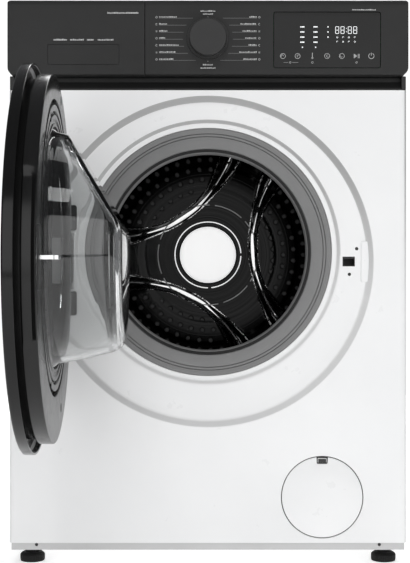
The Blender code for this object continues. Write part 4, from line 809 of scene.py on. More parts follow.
def build_knob():
    face = FACE_Y - 0.018
    r, skirt = 0.0277, 0.0310
    profile = [(0.0, face + 0.0005), (0.012, face + 0.00045), (0.020, face + 0.0003)]
    profile += rounded([(0.0235, face + 0.0001), (r, face), (r + 0.0001, FACE_Y - 0.0033),
                        (r + 0.0006, FACE_Y - 0.0030)],
                       (0, 0.0024, 0.0006, 0))
    profile += rounded([(skirt - 0.0004, FACE_Y - 0.0031), (skirt, FACE_Y - 0.0020),
                        (skirt, FACE_Y - 0.0003)], 0.0004)
    profile += [(0.003, FACE_Y - 0.0003), (0.003, FACE_Y + 0.0135), (0.0, FACE_Y + 0.0135)]
    bm = revolve(profile, (0.0, KNOB_Z), 128)
    put("programme_dial", bm, "knob", "knob", ("program_knob",), sharp=32.0)


def bar(bm, x0, x1, z0, z1, proud=PRINT_PROUD):
    """A printed stroke on the fascia's bowed face."""
    y0, y1 = bow_y(z0), bow_y(z1)
    low = [bm.verts.new(p) for p in ((x0, y0 - proud, z0), (x1, y0 - proud, z0), (x1, y1 - proud, z1),
                                     (x0, y1 - proud, z1))]
    back = [bm.verts.new((v.co.x, v.co.y + proud * 1.5, v.co.z)) for v in low]
    skin(bm, [back, low])
    bm.faces.new(low)


def arc_stroke(bm, cx, cz, radius, width, start, end, steps=14, proud=PRINT_PROUD):
    rows = []
    for r in (radius - width / 2, radius + width / 2):
        row = []
        for k in range(steps + 1):
            angle = math.radians(start + (end - start) * k / steps)
            x, z = cx + r * math.cos(angle), cz + r * math.sin(angle)
            row.append(bm.verts.new((x, bow_y(z) - proud, z)))
        rows.append(row)
    skin(bm, rows, closed=False)


def dashes(bm, x0, x1, z, height):
    """A row of short strokes of uneven length, which stands for a printed label without being one."""
    x = x0
    while x < x1 - 0.0008:
        length = min(rng.uniform(0.0009, 0.0028), x1 - x)
        bar(bm, x, x + length, z, z + height * rng.choice((0.8, 1.0, 1.0, 1.25)))
        x += length + rng.uniform(0.0004, 0.0007)


def build_print():
    bm = bmesh.new()
    dim = bmesh.new()
    pitch, top, clear, line_end = 0.01047, 0.8177, 0.0375, 0.0728
    lengths = {-1: (0.026, 0.012, 0.012, 0.010, 0.030, 0.024, 0.021),
               1: (0.011, 0.024, 0.021, 0.017, 0.012, 0.026, 0.020)}
    for row in range(7):
        z = top - pitch * row
        inner = max(math.sqrt(max(0.0, clear ** 2 - (z - KNOB_Z) ** 2)), 0.011)
        for side in (-1, 1):
            x0, x1 = sorted((side * line_end, side * inner))
            bar(dim, x0, x1, z, z + 0.00045)
            length = min(lengths[side][row], line_end - inner - 0.001)
            start = -0.0726 if side < 0 else 0.0726 - length
            dashes(bm, start, start + length, z + 0.0012, 0.0016)
            cx, cz = side * 0.0765, z + 0.0016
            if row % 3 == 0:
                arc_stroke(bm, cx, cz, 0.0013, 0.0005, 0, 360)
            elif row % 3 == 1:
                arc_stroke(bm, cx, cz, 0.0013, 0.0005, 40, 320)
            else:
                bar(bm, cx - 0.0012, cx + 0.0012, cz - 0.0012, cz - 0.0006)
                bar(bm, cx - 0.0012, cx + 0.0012, cz + 0.0002, cz + 0.0008)
    for z in (0.8191, 0.7531):
        bar(bm, -0.0003, 0.0003, z, z + 0.0012)
    for z, x in ((0.8276, 0.0110), (0.8232, 0.0075), (0.7476, 0.0075), (0.7429, 0.0110)):
        dashes(bm, -x, x, z, 0.0016)
    drawer = bmesh.new()
    for x0, x1 in ((-0.2298, -0.2100), (-0.2050, -0.1850), (-0.1800, -0.1690), (-0.1640, -0.1408)):
        dashes(drawer, x0, x1, 0.7846, 0.0020)
    dashes(drawer, -0.1496, -0.1037, 0.8246, 0.0021)
    put("drawer_print", drawer, "print", "drawer")
    dashes(bm, 0.2150, 0.2500, 0.8295, 0.0015)
    put("fascia_print", bm, "print", "cabinet")
    put("fascia_lines", dim, "print_dim", "cabinet")


def split_bar(bm, x0, x1, z, height):
    width = (x1 - x0) / 3
    for k in range(3):
        bar(bm, x0 + width * k, x0 + width * k + width * 0.78, z, z + height, GLOW_PROUD)


def build_display():
    bm = bmesh.new()
    low, high = 0.7946, 0.8055
    width, gap, stroke = 0.0056, 0.0024, 0.0007
    x = 0.1896
    half = (high - low) / 2
    for place_index in range(4):
        x0, x1 = x, x + width
        for z in (low, low + half - stroke / 2, high - stroke):
            bar(bm, x0 + stroke * 0.8, x1 - stroke * 0.8, z, z + stroke, GLOW_PROUD)
        for column in (x0, x1 - stroke):
            for z0, z1 in ((low + stroke * 0.8, low + half - stroke * 0.6),
                           (low + half + stroke * 0.6, high - stroke * 0.8)):
                bar(bm, column, column + stroke, z0, z1, GLOW_PROUD)
        x += width + gap
        if place_index == 1:
            for z in (low + half * 0.5, low + half * 1.4):
                bar(bm, x + 0.0001, x + 0.0011, z, z + 0.001, GLOW_PROUD)
            x += 0.0028
    for column, rows in ((0.1408, 5), (0.1604, 5), (0.1788, 3)):
        for row in range(rows):
            z = 0.8049 - 0.0076 * row
            half_w = 0.0008 if (row == 4 or rows == 3) else 0.0032
            if half_w < 0.001:
                bar(bm, column - half_w, column + half_w, z - 0.0009, z + 0.0009, GLOW_PROUD)
            else:
                split_bar(bm, column - half_w, column + half_w, z - 0.0009, 0.0018)
    for k in range(4):
        for z in (0.7893, 0.7828):
            arc_stroke(bm, 0.1925 + 0.0087 * k, z, 0.0010, 0.0005, 0, 360 if (k + int(z * 1e4)) % 2 else 240,
                       10, GLOW_PROUD)
    put("display_segments", bm, "glow", "cabinet")


def build_touch_marks():
    """Seven marks under the window: rings, and the common signs for temperature, start and power."""
    bm = bmesh.new()
    z = 0.7615
    xs = [0.1116 + 0.02195 * k for k in range(7)]
    for k, cx in enumerate(xs):
        if k == 6:
            arc_stroke(bm, cx, z, 0.0040, 0.0007, 115, 425, 20, GLOW_PROUD)
            bar(bm, cx - 0.00035, cx + 0.00035, z + 0.0006, z + 0.0048, GLOW_PROUD)
        elif k == 5:
            for step in range(6):
                h = 0.0034 * (1 - step / 6)
                bar(bm, cx - 0.0040 + step * 0.0008, cx - 0.0034 + step * 0.0008, z - h, z + h, GLOW_PROUD)
            bar(bm, cx + 0.0020, cx + 0.0027, z - 0.0032, z + 0.0032, GLOW_PROUD)
            bar(bm, cx + 0.0036, cx + 0.0043, z - 0.0032, z + 0.0032, GLOW_PROUD)
        elif k == 2:
            bar(bm, cx - 0.0004, cx + 0.0004, z - 0.0020, z + 0.0048, GLOW_PROUD)
            arc_stroke(bm, cx, z - 0.0028, 0.0011, 0.0006, 0, 360, 12, GLOW_PROUD)
        else:
            arc_stroke(bm, cx, z, 0.0038, 0.0006, 0, 360, 20, GLOW_PROUD)
            arc_stroke(bm, cx + (0.001 if k % 2 else -0.001), z, 0.0018, 0.0006, 30 * k, 30 * k + 220, 12,
                       GLOW_PROUD)
    for x0, x1 in ((xs[0] + 0.001, xs[0] + 0.008), (xs[1] - 0.008, xs[1] + 0.001)):
        bar(bm, x0, x1, 0.7518, 0.7521, GLOW_PROUD)
    for cx in ((xs[0] + xs[1]) / 2, xs[2], xs[5]):
        arc_stroke(bm, cx, 0.7519, 0.0013, 0.0005, 0, 360, 10, GLOW_PROUD)
    put("touch_marks", bm, "print", "cabinet")


# ---------------------------------------------------------------- gasket
def build_seal():
    front = STEP_Y
    outer = LIP_R - 0.0004
    g0, g1 = 0.1737, 0.1786
    profile = [
        (outer, front + 0.0065), (outer, front + 0.0006), (outer - 0.0006, front), (g1 + 0.0010, front),
        (g1 + 0.0002, front + 0.0004), (g1, front + 0.0035), (g0, front + 0.0035),
               (g0 - 0.0002, front + 0.0004),
        (g0 - 0.0010, front), (0.1660, front + 0.0003), (0.1580, front + 0.0005), (0.1562, front + 0.0012),
        (0.1555, front + 0.0030), (0.1552, front + 0.0080), (0.1512, front + 0.0080),
               (0.1510, front + 0.0040),
        (0.1506, front + 0.0031), (0.1500, front + 0.0034), (0.1496, front + 0.0050), (0.1495, 0.034),
        (0.1495, 0.048), (0.1502, 0.0515), (0.1520, 0.0540), (0.1600, 0.0580), (0.1700, 0.0616),
               (0.1704, 0.0640),
        (0.1704, 0.0700), (0.1738, 0.0700), (0.1738, 0.0590), (0.1640, 0.0540), (0.1545, 0.0490),
               (0.1543, 0.0360),
        (0.1555, front + 0.0140), (0.1600, front + 0.0100),
    ]
    bm = revolve(profile, PORT, SEGMENTS, closed=True)
    put("door_gasket", bm, "grey_rubber", replaces=("door_seal",), sharp=40.0)
    band = [(g0 + 0.0008, front + 0.0030), (g0 + 0.0008, front + 0.0004), (g0 + 0.0012, front),
            (g1 - 0.0012, front),
            (g1 - 0.0008, front + 0.0004), (g1 - 0.0008, front + 0.0030)]
    # a near-black rubber ring set into the gasket's groove: painted shade
    painted_shade = [(0.1514, front + 0.0062), (0.1514, front + 0.0038), (0.1553, front + 0.0032),
             (0.1553, front + 0.0062)]
    put("gasket_groove_painted_shade", revolve(painted_shade, PORT, SEGMENTS, closed=True), "groove", "cabinet",
        sharp=40.0)
    bm = revolve(band, PORT, SEGMENTS, closed=True)
    put("clamp_band", bm, "grey_rubber", "cabinet", ("seal_clamp_ring",), sharp=40.0)


# ---------------------------------------------------------------- drum
DRUM_INNER, DRUM_BACK, DRUM_CORNER = DRUM_R - DRUM_SKIN, DRUM_Y1 - DRUM_SKIN, 0.012
HUB_R, HUB_RING_R = 0.0484, 0.0569
ARC_CENTRE, ARC_R = 0.2915, 0.2135
ARC_ANGLES = (3.5, 123.5, 243.5)


def smooth_step(value, low, high):
    t = min(1.0, max(0.0, (value - low) / (high - low)))
    return t * t * (3 - 2 * t)


def arc_offset(x, z):
    """The signed distance to the nearest pressed arc, below zero inside its circle, and its half width."""
    r = math.hypot(x, z)
    half = 0.0080 + 0.0100 * smooth_step(r, 0.095, 0.175)
    offsets = []
    for angle_deg in ARC_ANGLES:
        angle = math.radians(angle_deg)
        offsets.append(math.hypot(x - ARC_CENTRE * math.cos(angle), z - ARC_CENTRE * math.sin(angle)) - ARC_R)
    return min(offsets, key=abs), half


def back_wall_rise(x, z):
    """How far the drum's back wall stands out towards the door."""
    r = math.hypot(x, z)
    rise = 0.0022 * smooth_step(r, 0.110, 0.121) - 0.0010 * smooth_step(r, 0.150, 0.156)
    off, half = arc_offset(x, z)
    if abs(off) < half:
        flat = 1 - smooth_step(r, 0.0785, 0.088)
        ridge = math.cos(math.pi / 2 * off / half) ** 1.8
        table = 1 - smooth_step(abs(off) / half, 0.42, 1.0)
        shape = (1 - flat) * ridge + flat * table
        rise += shape * (0.0026 + 0.034 * smooth_step(r, 0.088, 0.190))
    return rise


def build_drum_back():
    """The back wall with its pressed arcs, rounded into the side wall."""
    hub_seat, count, steps = 0.0505, 324, 118
    bm = bmesh.new()
    radii = [hub_seat + (DRUM_INNER - DRUM_CORNER - hub_seat) * k / steps for k in range(steps + 1)]
    rows = []
    for r in radii:
        row = []
        for i in range(count):
            angle = 2 * math.pi * i / count
            x, z = r * math.cos(angle), r * math.sin(angle)
            row.append(bm.verts.new((x, DRUM_BACK - back_wall_rise(x, z), PORT_Z + z)))
        rows.append(row)
    last_rise = [DRUM_BACK - vert.co.y for vert in rows[-1]]
    for k in range(1, 6):
        angle = math.pi / 2 * k / 5
        r = DRUM_INNER - DRUM_CORNER + DRUM_CORNER * math.sin(angle)
        y = DRUM_BACK - DRUM_CORNER + DRUM_CORNER * math.cos(angle)
        fade = 1 - k / 5
        rows.append([bm.verts.new((r * math.cos(2 * math.pi * i / count), y - last_rise[i] * fade,
                                   PORT_Z + r * math.sin(2 * math.pi * i / count))) for i in range(count)])
    skin(bm, rows)
    centre = [(0.0, DRUM_BACK + 0.0005), (0.030, DRUM_BACK + 0.0005), (0.0500, DRUM_BACK + 0.0005),
              (hub_seat, DRUM_BACK)]
    revolve(centre, PORT, count, bm=bm)
    piece = put("drum_back", bm, "drum_steel", "drum", replaces=("drum_shell",), sharp=60.0)
    # the pressed arcs take the bright lifter steel against the wall's near-black steel: a lit copy of the same
    # steel as painted highlight
    piece.data.materials.append(LOOK["lifter"])
    for face in piece.data.polygons:
        x, z = face.center.x, face.center.z - PORT_Z
        off, half = arc_offset(x, z)
        if abs(off) < half * 0.98 and math.hypot(x, z) > 0.06:
            face.material_index = 1


def build_drum_wall():
    """The side wall as hexagon cells, each with a dimple and a hole."""
    start, end = DRUM_Y0 + DRUM_CORNER, DRUM_BACK - DRUM_CORNER + 0.0005
    pitch_rows = 13
    pitch = (end - start) / (pitch_rows - 0.5)
    columns = round(2 * math.pi * DRUM_INNER / (pitch * 1.1547))
    wide = 2 * math.pi * DRUM_INNER / columns
    bm = bmesh.new()
    tall = pitch / 1.5

    def corner_points(u, v):
        """Twelve points of a hexagon cell whose centre is (u, v), from its right side."""
        tips = [(u + wide / 2, v + tall / 2), (u, v + tall), (u - wide / 2, v + tall / 2),
                (u - wide / 2, v - tall / 2), (u, v - tall), (u + wide / 2, v - tall / 2)]
        made = []
        for k in range(6):
            a, b = tips[k - 1], tips[k]
            made += [((a[0] + b[0]) / 2, (a[1] + b[1]) / 2), b]
        return made

    def bend(u, v, out):
        angle = u / DRUM_INNER
        radius = DRUM_INNER + out
        return (radius * math.cos(angle), v, PORT_Z + radius * math.sin(angle))

    for row in range(pitch_rows + 1):
        v = start + pitch * row
        for column in range(columns):
            u = wide * (column + (0.5 if row % 2 else 0.0))
            loops = [[bm.verts.new(bend(*point, 0.0)) for point in corner_points(u, v)]]
            for radius, out in ((0.0046, 0.0), (0.0038, 0.0003), (0.0022, 0.0005)):
                loops.append([bm.verts.new(bend(u + radius * math.cos(math.radians(30 * k)),
                                                v + radius * math.sin(math.radians(30 * k)),
                                                out)) for k in range(12)])
            skin(bm, loops)
    bmesh.ops.remove_doubles(bm, verts=bm.verts, dist=2e-5)
    for y, side in ((start, -1), (end, 1)):
        bmesh.ops.bisect_plane(bm, geom=bm.verts[:] + bm.edges[:] + bm.faces[:], plane_co=(0, y, 0),
                               plane_no=(0, side, 0), clear_outer=True)
    put("drum_wall", bm, "drum_wall", "drum", sharp=50.0)


def build_drum_mouth():
    y0, lip = DRUM_Y0, 0.0065
    mouth = 0.165
    profile = [(DRUM_INNER, y0 + DRUM_CORNER)] + rounded(
        [(DRUM_INNER, y0 + DRUM_CORNER), (DRUM_INNER - 0.001, y0 + 0.0030), (DRUM_INNER - DRUM_CORNER, y0 + 0.0012),
         (mouth + 0.003, y0 + 0.0006), (mouth + 0.0006, y0 + 0.0025), (mouth + 0.0006, y0 + lip)], 0.003)
    bm = revolve(profile, PORT, SEGMENTS)
    put("drum_mouth", bm, "drum_steel", "drum", sharp=50.0)


def build_hub():
    lo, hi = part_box("hub_cap")
    back_y, face = hi.y - OFFSET, lo.y - OFFSET
    profile = [(0.0, face)] + rounded([(0.020, face + 0.0002), (HUB_R - 0.0040, face + 0.0012),
                                       (HUB_R, face + 0.0036),
                                       (HUB_R, back_y)], 0.0016)
    bm = revolve(profile, PORT, 128)
    # the hub disc and the ring below take the glowing hub look: painted light
    put("hub_disc", bm, "hub", "drum", ("hub_cap",), sharp=50.0)

    bm = bmesh.new()
    for start_deg, end_deg in ((3.0, 270.0), (276.0, 358.0)):
        rows = []
        for k in range(13):
            angle = 2 * math.pi * k / 12
            r, y = HUB_RING_R + 0.0009 * math.cos(angle), DRUM_BACK - 0.0008 + 0.0012 * math.sin(angle)
            rows.append([bm.verts.new((r * math.cos(math.radians(a)), y,
                                       PORT_Z + r * math.sin(math.radians(a))))
                         for a in [start_deg + (end_deg - start_deg) * i / 120 for i in range(121)]])
        skin(bm, rows, closed=False)
    bmesh.ops.remove_doubles(bm, verts=bm.verts, dist=1e-6)
    put("hub_ring", bm, "hub", "drum")


def build_back_holes():
    """Rimmed water holes in the three fields between the pressed arcs and the drum's wall, each filled with a dark
    disc as painted shade.
    """
    rims, painted_shade_discs = bmesh.new(), bmesh.new()
    for row, radius in enumerate((0.164, 0.147, 0.130, 0.113)):
        count = round(2 * math.pi * radius / 0.0195)
        for k in range(count):
            angle = 2 * math.pi * (k + 0.5 * (row % 2)) / count
            x, z = radius * math.cos(angle), radius * math.sin(angle)
            off, half = arc_offset(x, z)
            if off > -half - 0.0055:
                continue
            y = DRUM_BACK - back_wall_rise(x, z)
            revolve([(0.0030, y), (0.0036, y - 0.0005), (0.0042, y - 0.0006), (0.0047, y + 0.0001)],
                    (x, PORT_Z + z), 20,
                    bm=rims)
            revolve([(0.0, y - 0.0002), (0.0031, y - 0.0002), (0.0031, y + 0.0008)], (x, PORT_Z + z), 16,
                    bm=painted_shade_discs)
    beads = bmesh.new()
    for start in range(8, 368, 40):
        rows = []
        for radius, proud in ((0.0852, 0.0), (0.0857, 0.0007), (0.0869, 0.0007), (0.0874, 0.0)):
            row = []
            for k in range(13):
                angle = math.radians(start + 34.0 * k / 12)
                x, z = radius * math.cos(angle), radius * math.sin(angle)
                row.append(beads.verts.new((x, DRUM_BACK - back_wall_rise(x, z) - proud, PORT_Z + z)))
            rows.append(row)
        skin(beads, rows, closed=False)
    # the beads are a lighter copy of the drum's steel as painted highlight, the hole rims a darker one as painted
    # shade
    put("back_ring_beads", beads, "ring_bead", "drum")
    put("back_hole_rims", rims, "hole_rim", "drum", sharp=50.0)
    put("back_hole_painted_shade", painted_shade_discs, "dark_plastic", "drum")


def build_lifter(number, angle_deg):
    """A smooth paddle with a ridged crest."""
    half = 0.030
    crest = 0.172
    base = math.sqrt(DRUM_INNER ** 2 - half ** 2) * 0.9952
    y0, y1, slope = 0.090, 0.285, 0.026
    angle = math.radians(angle_deg)
    outward = Vector((math.cos(angle), 0, math.sin(angle)))
    across = Vector((-math.sin(angle), 0, math.cos(angle)))
    bm = bmesh.new()
    rows = []
    across_steps, along_steps = 28, 44
    for i in range(along_steps + 1):
        y = y0 + (y1 - y0) * i / along_steps
        ends = min((y - y0) / slope, (y1 - y) / slope, 1.0)
        height = 0.32 + 0.68 * math.sin(math.pi / 2 * ends)
        row = []
        for j in range(across_steps + 1):
            side = -1 + 2 * j / across_steps
            up = math.cos(math.pi / 2 * side) ** 0.85 if abs(side) < 0.999 else 0.0
            ridge = 0.0006 * (1 if abs(side) < 0.42 and int((y - y0) / 0.0065) % 2 else 0)
            radius = base - (base - crest - 0.0010) * up * height + ridge
            row.append(bm.verts.new(outward * radius + across * half * side + Vector((0, y, PORT_Z))))
        rows.append(row)
    skin(bm, rows, closed=False)
    bm.faces.new(rows[0])
    bm.faces.new(rows[-1])
    put(f"drum_paddle_{number}", bm, "lifter", "drum", (f"lifter_{number}",), sharp=50.0)


# ---------------------------------------------------------------- door
FRAME_SCREWS = ((-0.067, 0.6706), (-0.067, 0.2560), (0.068, 0.6325), (0.068, 0.2960), (-0.170, 0.592),
                (-0.170, 0.330))


def scooped(angle, radius, along):
    """The grip hollow in the inner frame's free edge."""
    turn = math.degrees((angle + math.pi) % (2 * math.pi) - math.pi)
    depth = 0.0050 * (1 - smooth_step(abs(turn), 24.0, 26.0))
    if radius > FRAME_R - 0.0045 and FRAME_BACK_Y - 0.0005 < along < FRAME_FACE_Y - 0.0018:
        return radius - depth, along
    return radius, along


def build_glazing():
    rim = COVER_END_Y
    edge = [(0.0, COVER_Y), (0.12, COVER_Y), (0.22, COVER_Y + 0.0001)]
    edge += rounded([(0.236, COVER_Y + 0.0002), (DOOR_R - 0.0001, COVER_Y + 0.0002), (DOOR_R - 0.0001, rim),
                     (DOOR_R - 0.003, rim),
                     (DOOR_R - 0.003, COVER_Y + 0.006), (DOOR_R - 0.007, COVER_Y + 0.0032),
                     (0.0, COVER_Y + 0.003)],
                    (0, 0.0032, 0.0009, 0.0009, 0.001, 0.001, 0), steps=6)
    bm = revolve(edge, (0.0, DOOR_Z), 240)
    put("door_glazing", bm, "gloss_black", "door", replaces=("door_cover",), sharp=50.0, door=True)


def build_frame():
    """The door's inner ring, with its mouldings, grip hollow, screw wells, hinge pocket and latch slot."""
    face, back = FRAME_FACE_Y, FRAME_BACK_Y
    bore = BOWL_R + 0.0006
    ring = [(bore, face - 0.003, PORT_Z), (bore, face, PORT_Z), (bore + 0.003, face, PORT_Z),
            (bore + 0.0045, face - 0.0016, PORT_Z), (bore + 0.0085, face - 0.0016, PORT_Z),
            (bore + 0.010, face, PORT_Z),
            (bore + 0.0150, face, PORT_Z), (bore + 0.0160, face - 0.0040, PORT_Z),
            (bore + 0.0190, face - 0.0040, PORT_Z), (bore + 0.0200, face, PORT_Z),
            (0.1852, face, PORT_Z), (0.1862, face - 0.0080, PORT_Z),
            (0.1915, face - 0.0080, PORT_Z), (0.1925, face, PORT_Z),
            (0.2160, face, PORT_Z * 0.4 + DOOR_Z * 0.6),
            (FRAME_R, face, DOOR_Z), (FRAME_R, face - 0.0065, DOOR_Z), (FRAME_R, face - 0.0120, DOOR_Z),
            (FRAME_R, back, DOOR_Z), (FRAME_R - 0.006, back, DOOR_Z),
            (FRAME_R - 0.006, COVER_Y + 0.0036, DOOR_Z),
            (0.2290, COVER_Y + 0.0036, DOOR_Z)]
    smooth = rounded([p[:2] for p in ring], [0, .0006, .0006, .0004, .0004, .0006, .0006, .0004,
                                           .0004, .0006, .0006, .0004, .0004, .0006, 0, .0016, 0, 0, .0012,
                                             .001, .001, 0], steps=3)
    profile = []
    for radius, along in smooth:
        if radius <= 0.1930 and along > back + 0.004:
            centre = PORT_Z
        else:
            share = smooth_step(radius, 0.193, 0.232)
            centre = PORT_Z * (1 - share) + DOOR_Z * share
        profile.append((radius, along, centre))
    bm = revolve(profile, (0.0, DOOR_Z), 240, reshape=scooped)
    piece = put("door_inner_ring", bm, "frame_black", "door", ("door_frame",), sharp=45.0,
                door=True)
    cutters = []
    for x, z in FRAME_SCREWS:
        cutters.append(revolve([(0.0, face - 0.006), (0.0060, face - 0.006), (0.0066, face + 0.002),
                                (0.0, face + 0.002)],
                               (x, z), 40))
    pocket = bmesh.new()
    block(pocket, (-0.246, COVER_Y + 0.0015, DOOR_Z - 0.050), (-0.231 + 0.034, face + 0.003, DOOR_Z + 0.050))
    cutters.append(pocket)
    slot = bmesh.new()
    block(slot, (LATCH_X - 0.0058, face - 0.006, DOOR_Z - 0.0037),
          (LATCH_X + 0.0058, face + 0.003, DOOR_Z + 0.0037))
    cutters.append(slot)
    cut_away(piece, cutters)


def build_frame_screws():
    face = FRAME_FACE_Y
    bm = bmesh.new()
    for x, z in FRAME_SCREWS:
        revolve([(0.0, face - 0.0042), (0.0016, face - 0.0042), (0.0022, face - 0.0030),
                 (0.0038, face - 0.0026),
                 (0.0044, face - 0.0034), (0.0044, face - 0.0056)], (x, z), 24, bm=bm)
        revolve([(0.0044, face - 0.0056), (0.0064, face - 0.0056)], (x, z), 24, bm=bm)
    put("frame_screws", bm, "steel_dark", "door", door=True)


def build_latch_plate():
    face = FRAME_FACE_Y
    bm = slab(LATCH_X - 0.013, LATCH_X + 0.013, DOOR_Z - 0.0375, DOOR_Z + 0.0375, -face - 0.0014,
              -face + 0.0004,
              (0.0007,) * 4, (0.003,) * 4,
              holes=[round_rect(LATCH_X - 0.0055, LATCH_X + 0.0055, DOOR_Z - 0.0036, DOOR_Z + 0.0036, 0.001)],
              hole_depth=0.0016)
    for vert in bm.verts:
        vert.co.y = -vert.co.y
    put("latch_plate", bm, "dark_plastic", "door", door=True, sharp=40.0)
    bm = bmesh.new()
    for dz in (-0.027, 0.027):
        revolve([(0.0, face + 0.0016), (0.0016, face + 0.0016), (0.0028, face + 0.0013),
                 (0.0034, face + 0.0006),
                 (0.0034, face)], (LATCH_X, DOOR_Z + dz), 24, bm=bm)
    put("latch_screws", bm, "bright_steel", "door", door=True)


def build_liner():
    """The ribbed inside of the door, seen through the bowl."""
    seat = COVER_Y + 0.0040
    rings = [(0.020, seat)]
    for radius in (0.052, 0.081, 0.098, 0.112, 0.124, 0.134, 0.1425):
        rings += [(radius, seat), (radius + 0.0006, seat + 0.0052), (radius + 0.0024, seat + 0.0052),
                  (radius + 0.0030, seat)]
    rings.append((0.1545, seat))
    bm = revolve(rings, PORT, 160)
    put("door_liner", bm, "liner", "door", door=True, sharp=40.0)


def cut_away(piece, cutters, turn=DOOR_TURN):
    """Cuts closed shapes out of a piece and applies the cuts; the door's are drawn with it shut."""
    tools = []
    for k, bm in enumerate(cutters):
        bmesh.ops.recalc_face_normals(bm, faces=bm.faces)
        bmesh.ops.transform(bm, verts=bm.verts, matrix=Matrix.Translation((0.0, OFFSET, 0.0)) @ turn)
        mesh = bpy.data.meshes.new(f"cutter_{k}")
        bm.to_mesh(mesh)
        bm.free()
        tool = bpy.data.objects.new(f"cutter_{k}", mesh)
        bpy.context.scene.collection.objects.link(tool)
        step = piece.modifiers.new(f"cut_{k}", "BOOLEAN")
        step.operation = "DIFFERENCE"
        step.object = tool
        step.solver = "EXACT"
        step.use_hole_tolerant = True
        tools.append(tool)
    bpy.context.view_layer.update()
    shaped = piece.evaluated_get(bpy.context.evaluated_depsgraph_get())
    mesh = bpy.data.meshes.new_from_object(shaped)
    piece.modifiers.clear()
    clean = bmesh.new()
    clean.from_mesh(mesh)
    bmesh.ops.remove_doubles(clean, verts=clean.verts, dist=2e-6)
    bmesh.ops.dissolve_degenerate(clean, dist=2e-6, edges=clean.edges)
    clean.to_mesh(mesh)
    clean.free()
    mesh.validate()
    piece.data = mesh
    mesh.set_sharp_from_angle(angle=math.radians(45.0))
    for tool in tools:
        bpy.data.objects.remove(tool)


def bowl_depth(share, rise):
    """Depth of the bowl's outside at a share of its radius, and at a rise above its centre."""
    outline = [(0.0, 1.0), (0.77, 1.0), (0.82, 0.965), (0.86, 0.86), (0.915, 0.50), (0.958, 0.12),
               (1.0, 0.03)]
    depth = outline[-1][1]
    for (r0, d0), (r1, d1) in zip(outline, outline[1:]):
        if share <= r1 + 1e-9:
            depth = d0 + (d1 - d0) * (share - r0) / (r1 - r0)
            break
    depth = depth * BOWL_DEPTH - 0.0048 * min(1.0, share / 0.80) ** 2
    if rise > BOWL_RISE:
        limit = BOWL_DEPTH - BOWL_SLANT * (rise - BOWL_RISE)
        width = 0.006
        if depth > limit - width:
            past = max(0.0, 1 - (depth - limit + width) / (2 * width))
            depth = limit - width * past ** 2 if depth < limit + width else limit
    return depth


def build_bowl():
    segments = 160
    shares = [1.0, 0.985, 0.97, 0.958, 0.95, 0.94, 0.93, 0.915, 0.905, 0.895, 0.885, 0.875, 0.865, 0.855,
              0.845, 0.835,
              0.825, 0.812, 0.798, 0.784, 0.77, 0.74, 0.70, 0.64, 0.57, 0.50, 0.42, 0.34, 0.26, 0.18, 0.10,
              0.05]
    flange, inner_r = BOWL_R + 0.0115, BOWL_R - BOWL_WALL
    high = FRAME_FACE_Y - 0.0033
    low = high - BOWL_WALL
    bm = bmesh.new()

    def loop(radius, depth_of):
        made = []
        for i in range(segments):
            angle = 2 * math.pi * i / segments
            x, rise = radius * math.cos(angle), radius * math.sin(angle)
            made.append(bm.verts.new((x, depth_of(rise), PORT_Z + rise)))
        return made

    outside = [loop(flange, lambda rise: high), loop(BOWL_R + 0.0008, lambda rise: high),
               loop(BOWL_R, lambda rise: high + 0.0008)]
    for share in shares[1:]:
        outside.append(loop(BOWL_R * share, lambda rise, s=share: bowl_depth(s, rise)))
    inside = []
    for share in shares[:0:-1]:
        inside.append(loop(inner_r * share,
                           lambda rise, s=share: bowl_depth(s, rise * BOWL_R / inner_r) - BOWL_WALL))
    inside += [loop(inner_r, lambda rise: low), loop(flange, lambda rise: low)]
    skin(bm, outside)
    skin(bm, inside)
    skin(bm, [inside[-1], outside[0]])
    bm.faces.new(outside[-1])
    bm.faces.new(inside[0])
    put("porthole_bowl", bm, "clear_glass", "door", replaces=("door_bowl",), sharp=60.0, door=True)


def build_hook():
    half, tip, root = 0.0038, FRAME_FACE_Y + 0.025, -0.006
    outline = [(LATCH_X - half, root - half), (LATCH_X + half, root - half), (LATCH_X + half, tip - 0.007),
               (LATCH_X + half + 0.0028, tip - 0.0065), (LATCH_X + half + 0.0012, tip - 0.0015),
               (LATCH_X + half - 0.001, tip),
               (LATCH_X - half + 0.001, tip), (LATCH_X - half, tip - 0.001)]
    bm = extrude(outline, DOOR_Z - 0.00265, DOOR_Z + 0.00265, "Z")
    put("latch_tongue", bm, "bright_steel", "latch_hook", replaces=("door_hook",), door=True, bevel=0.0005)


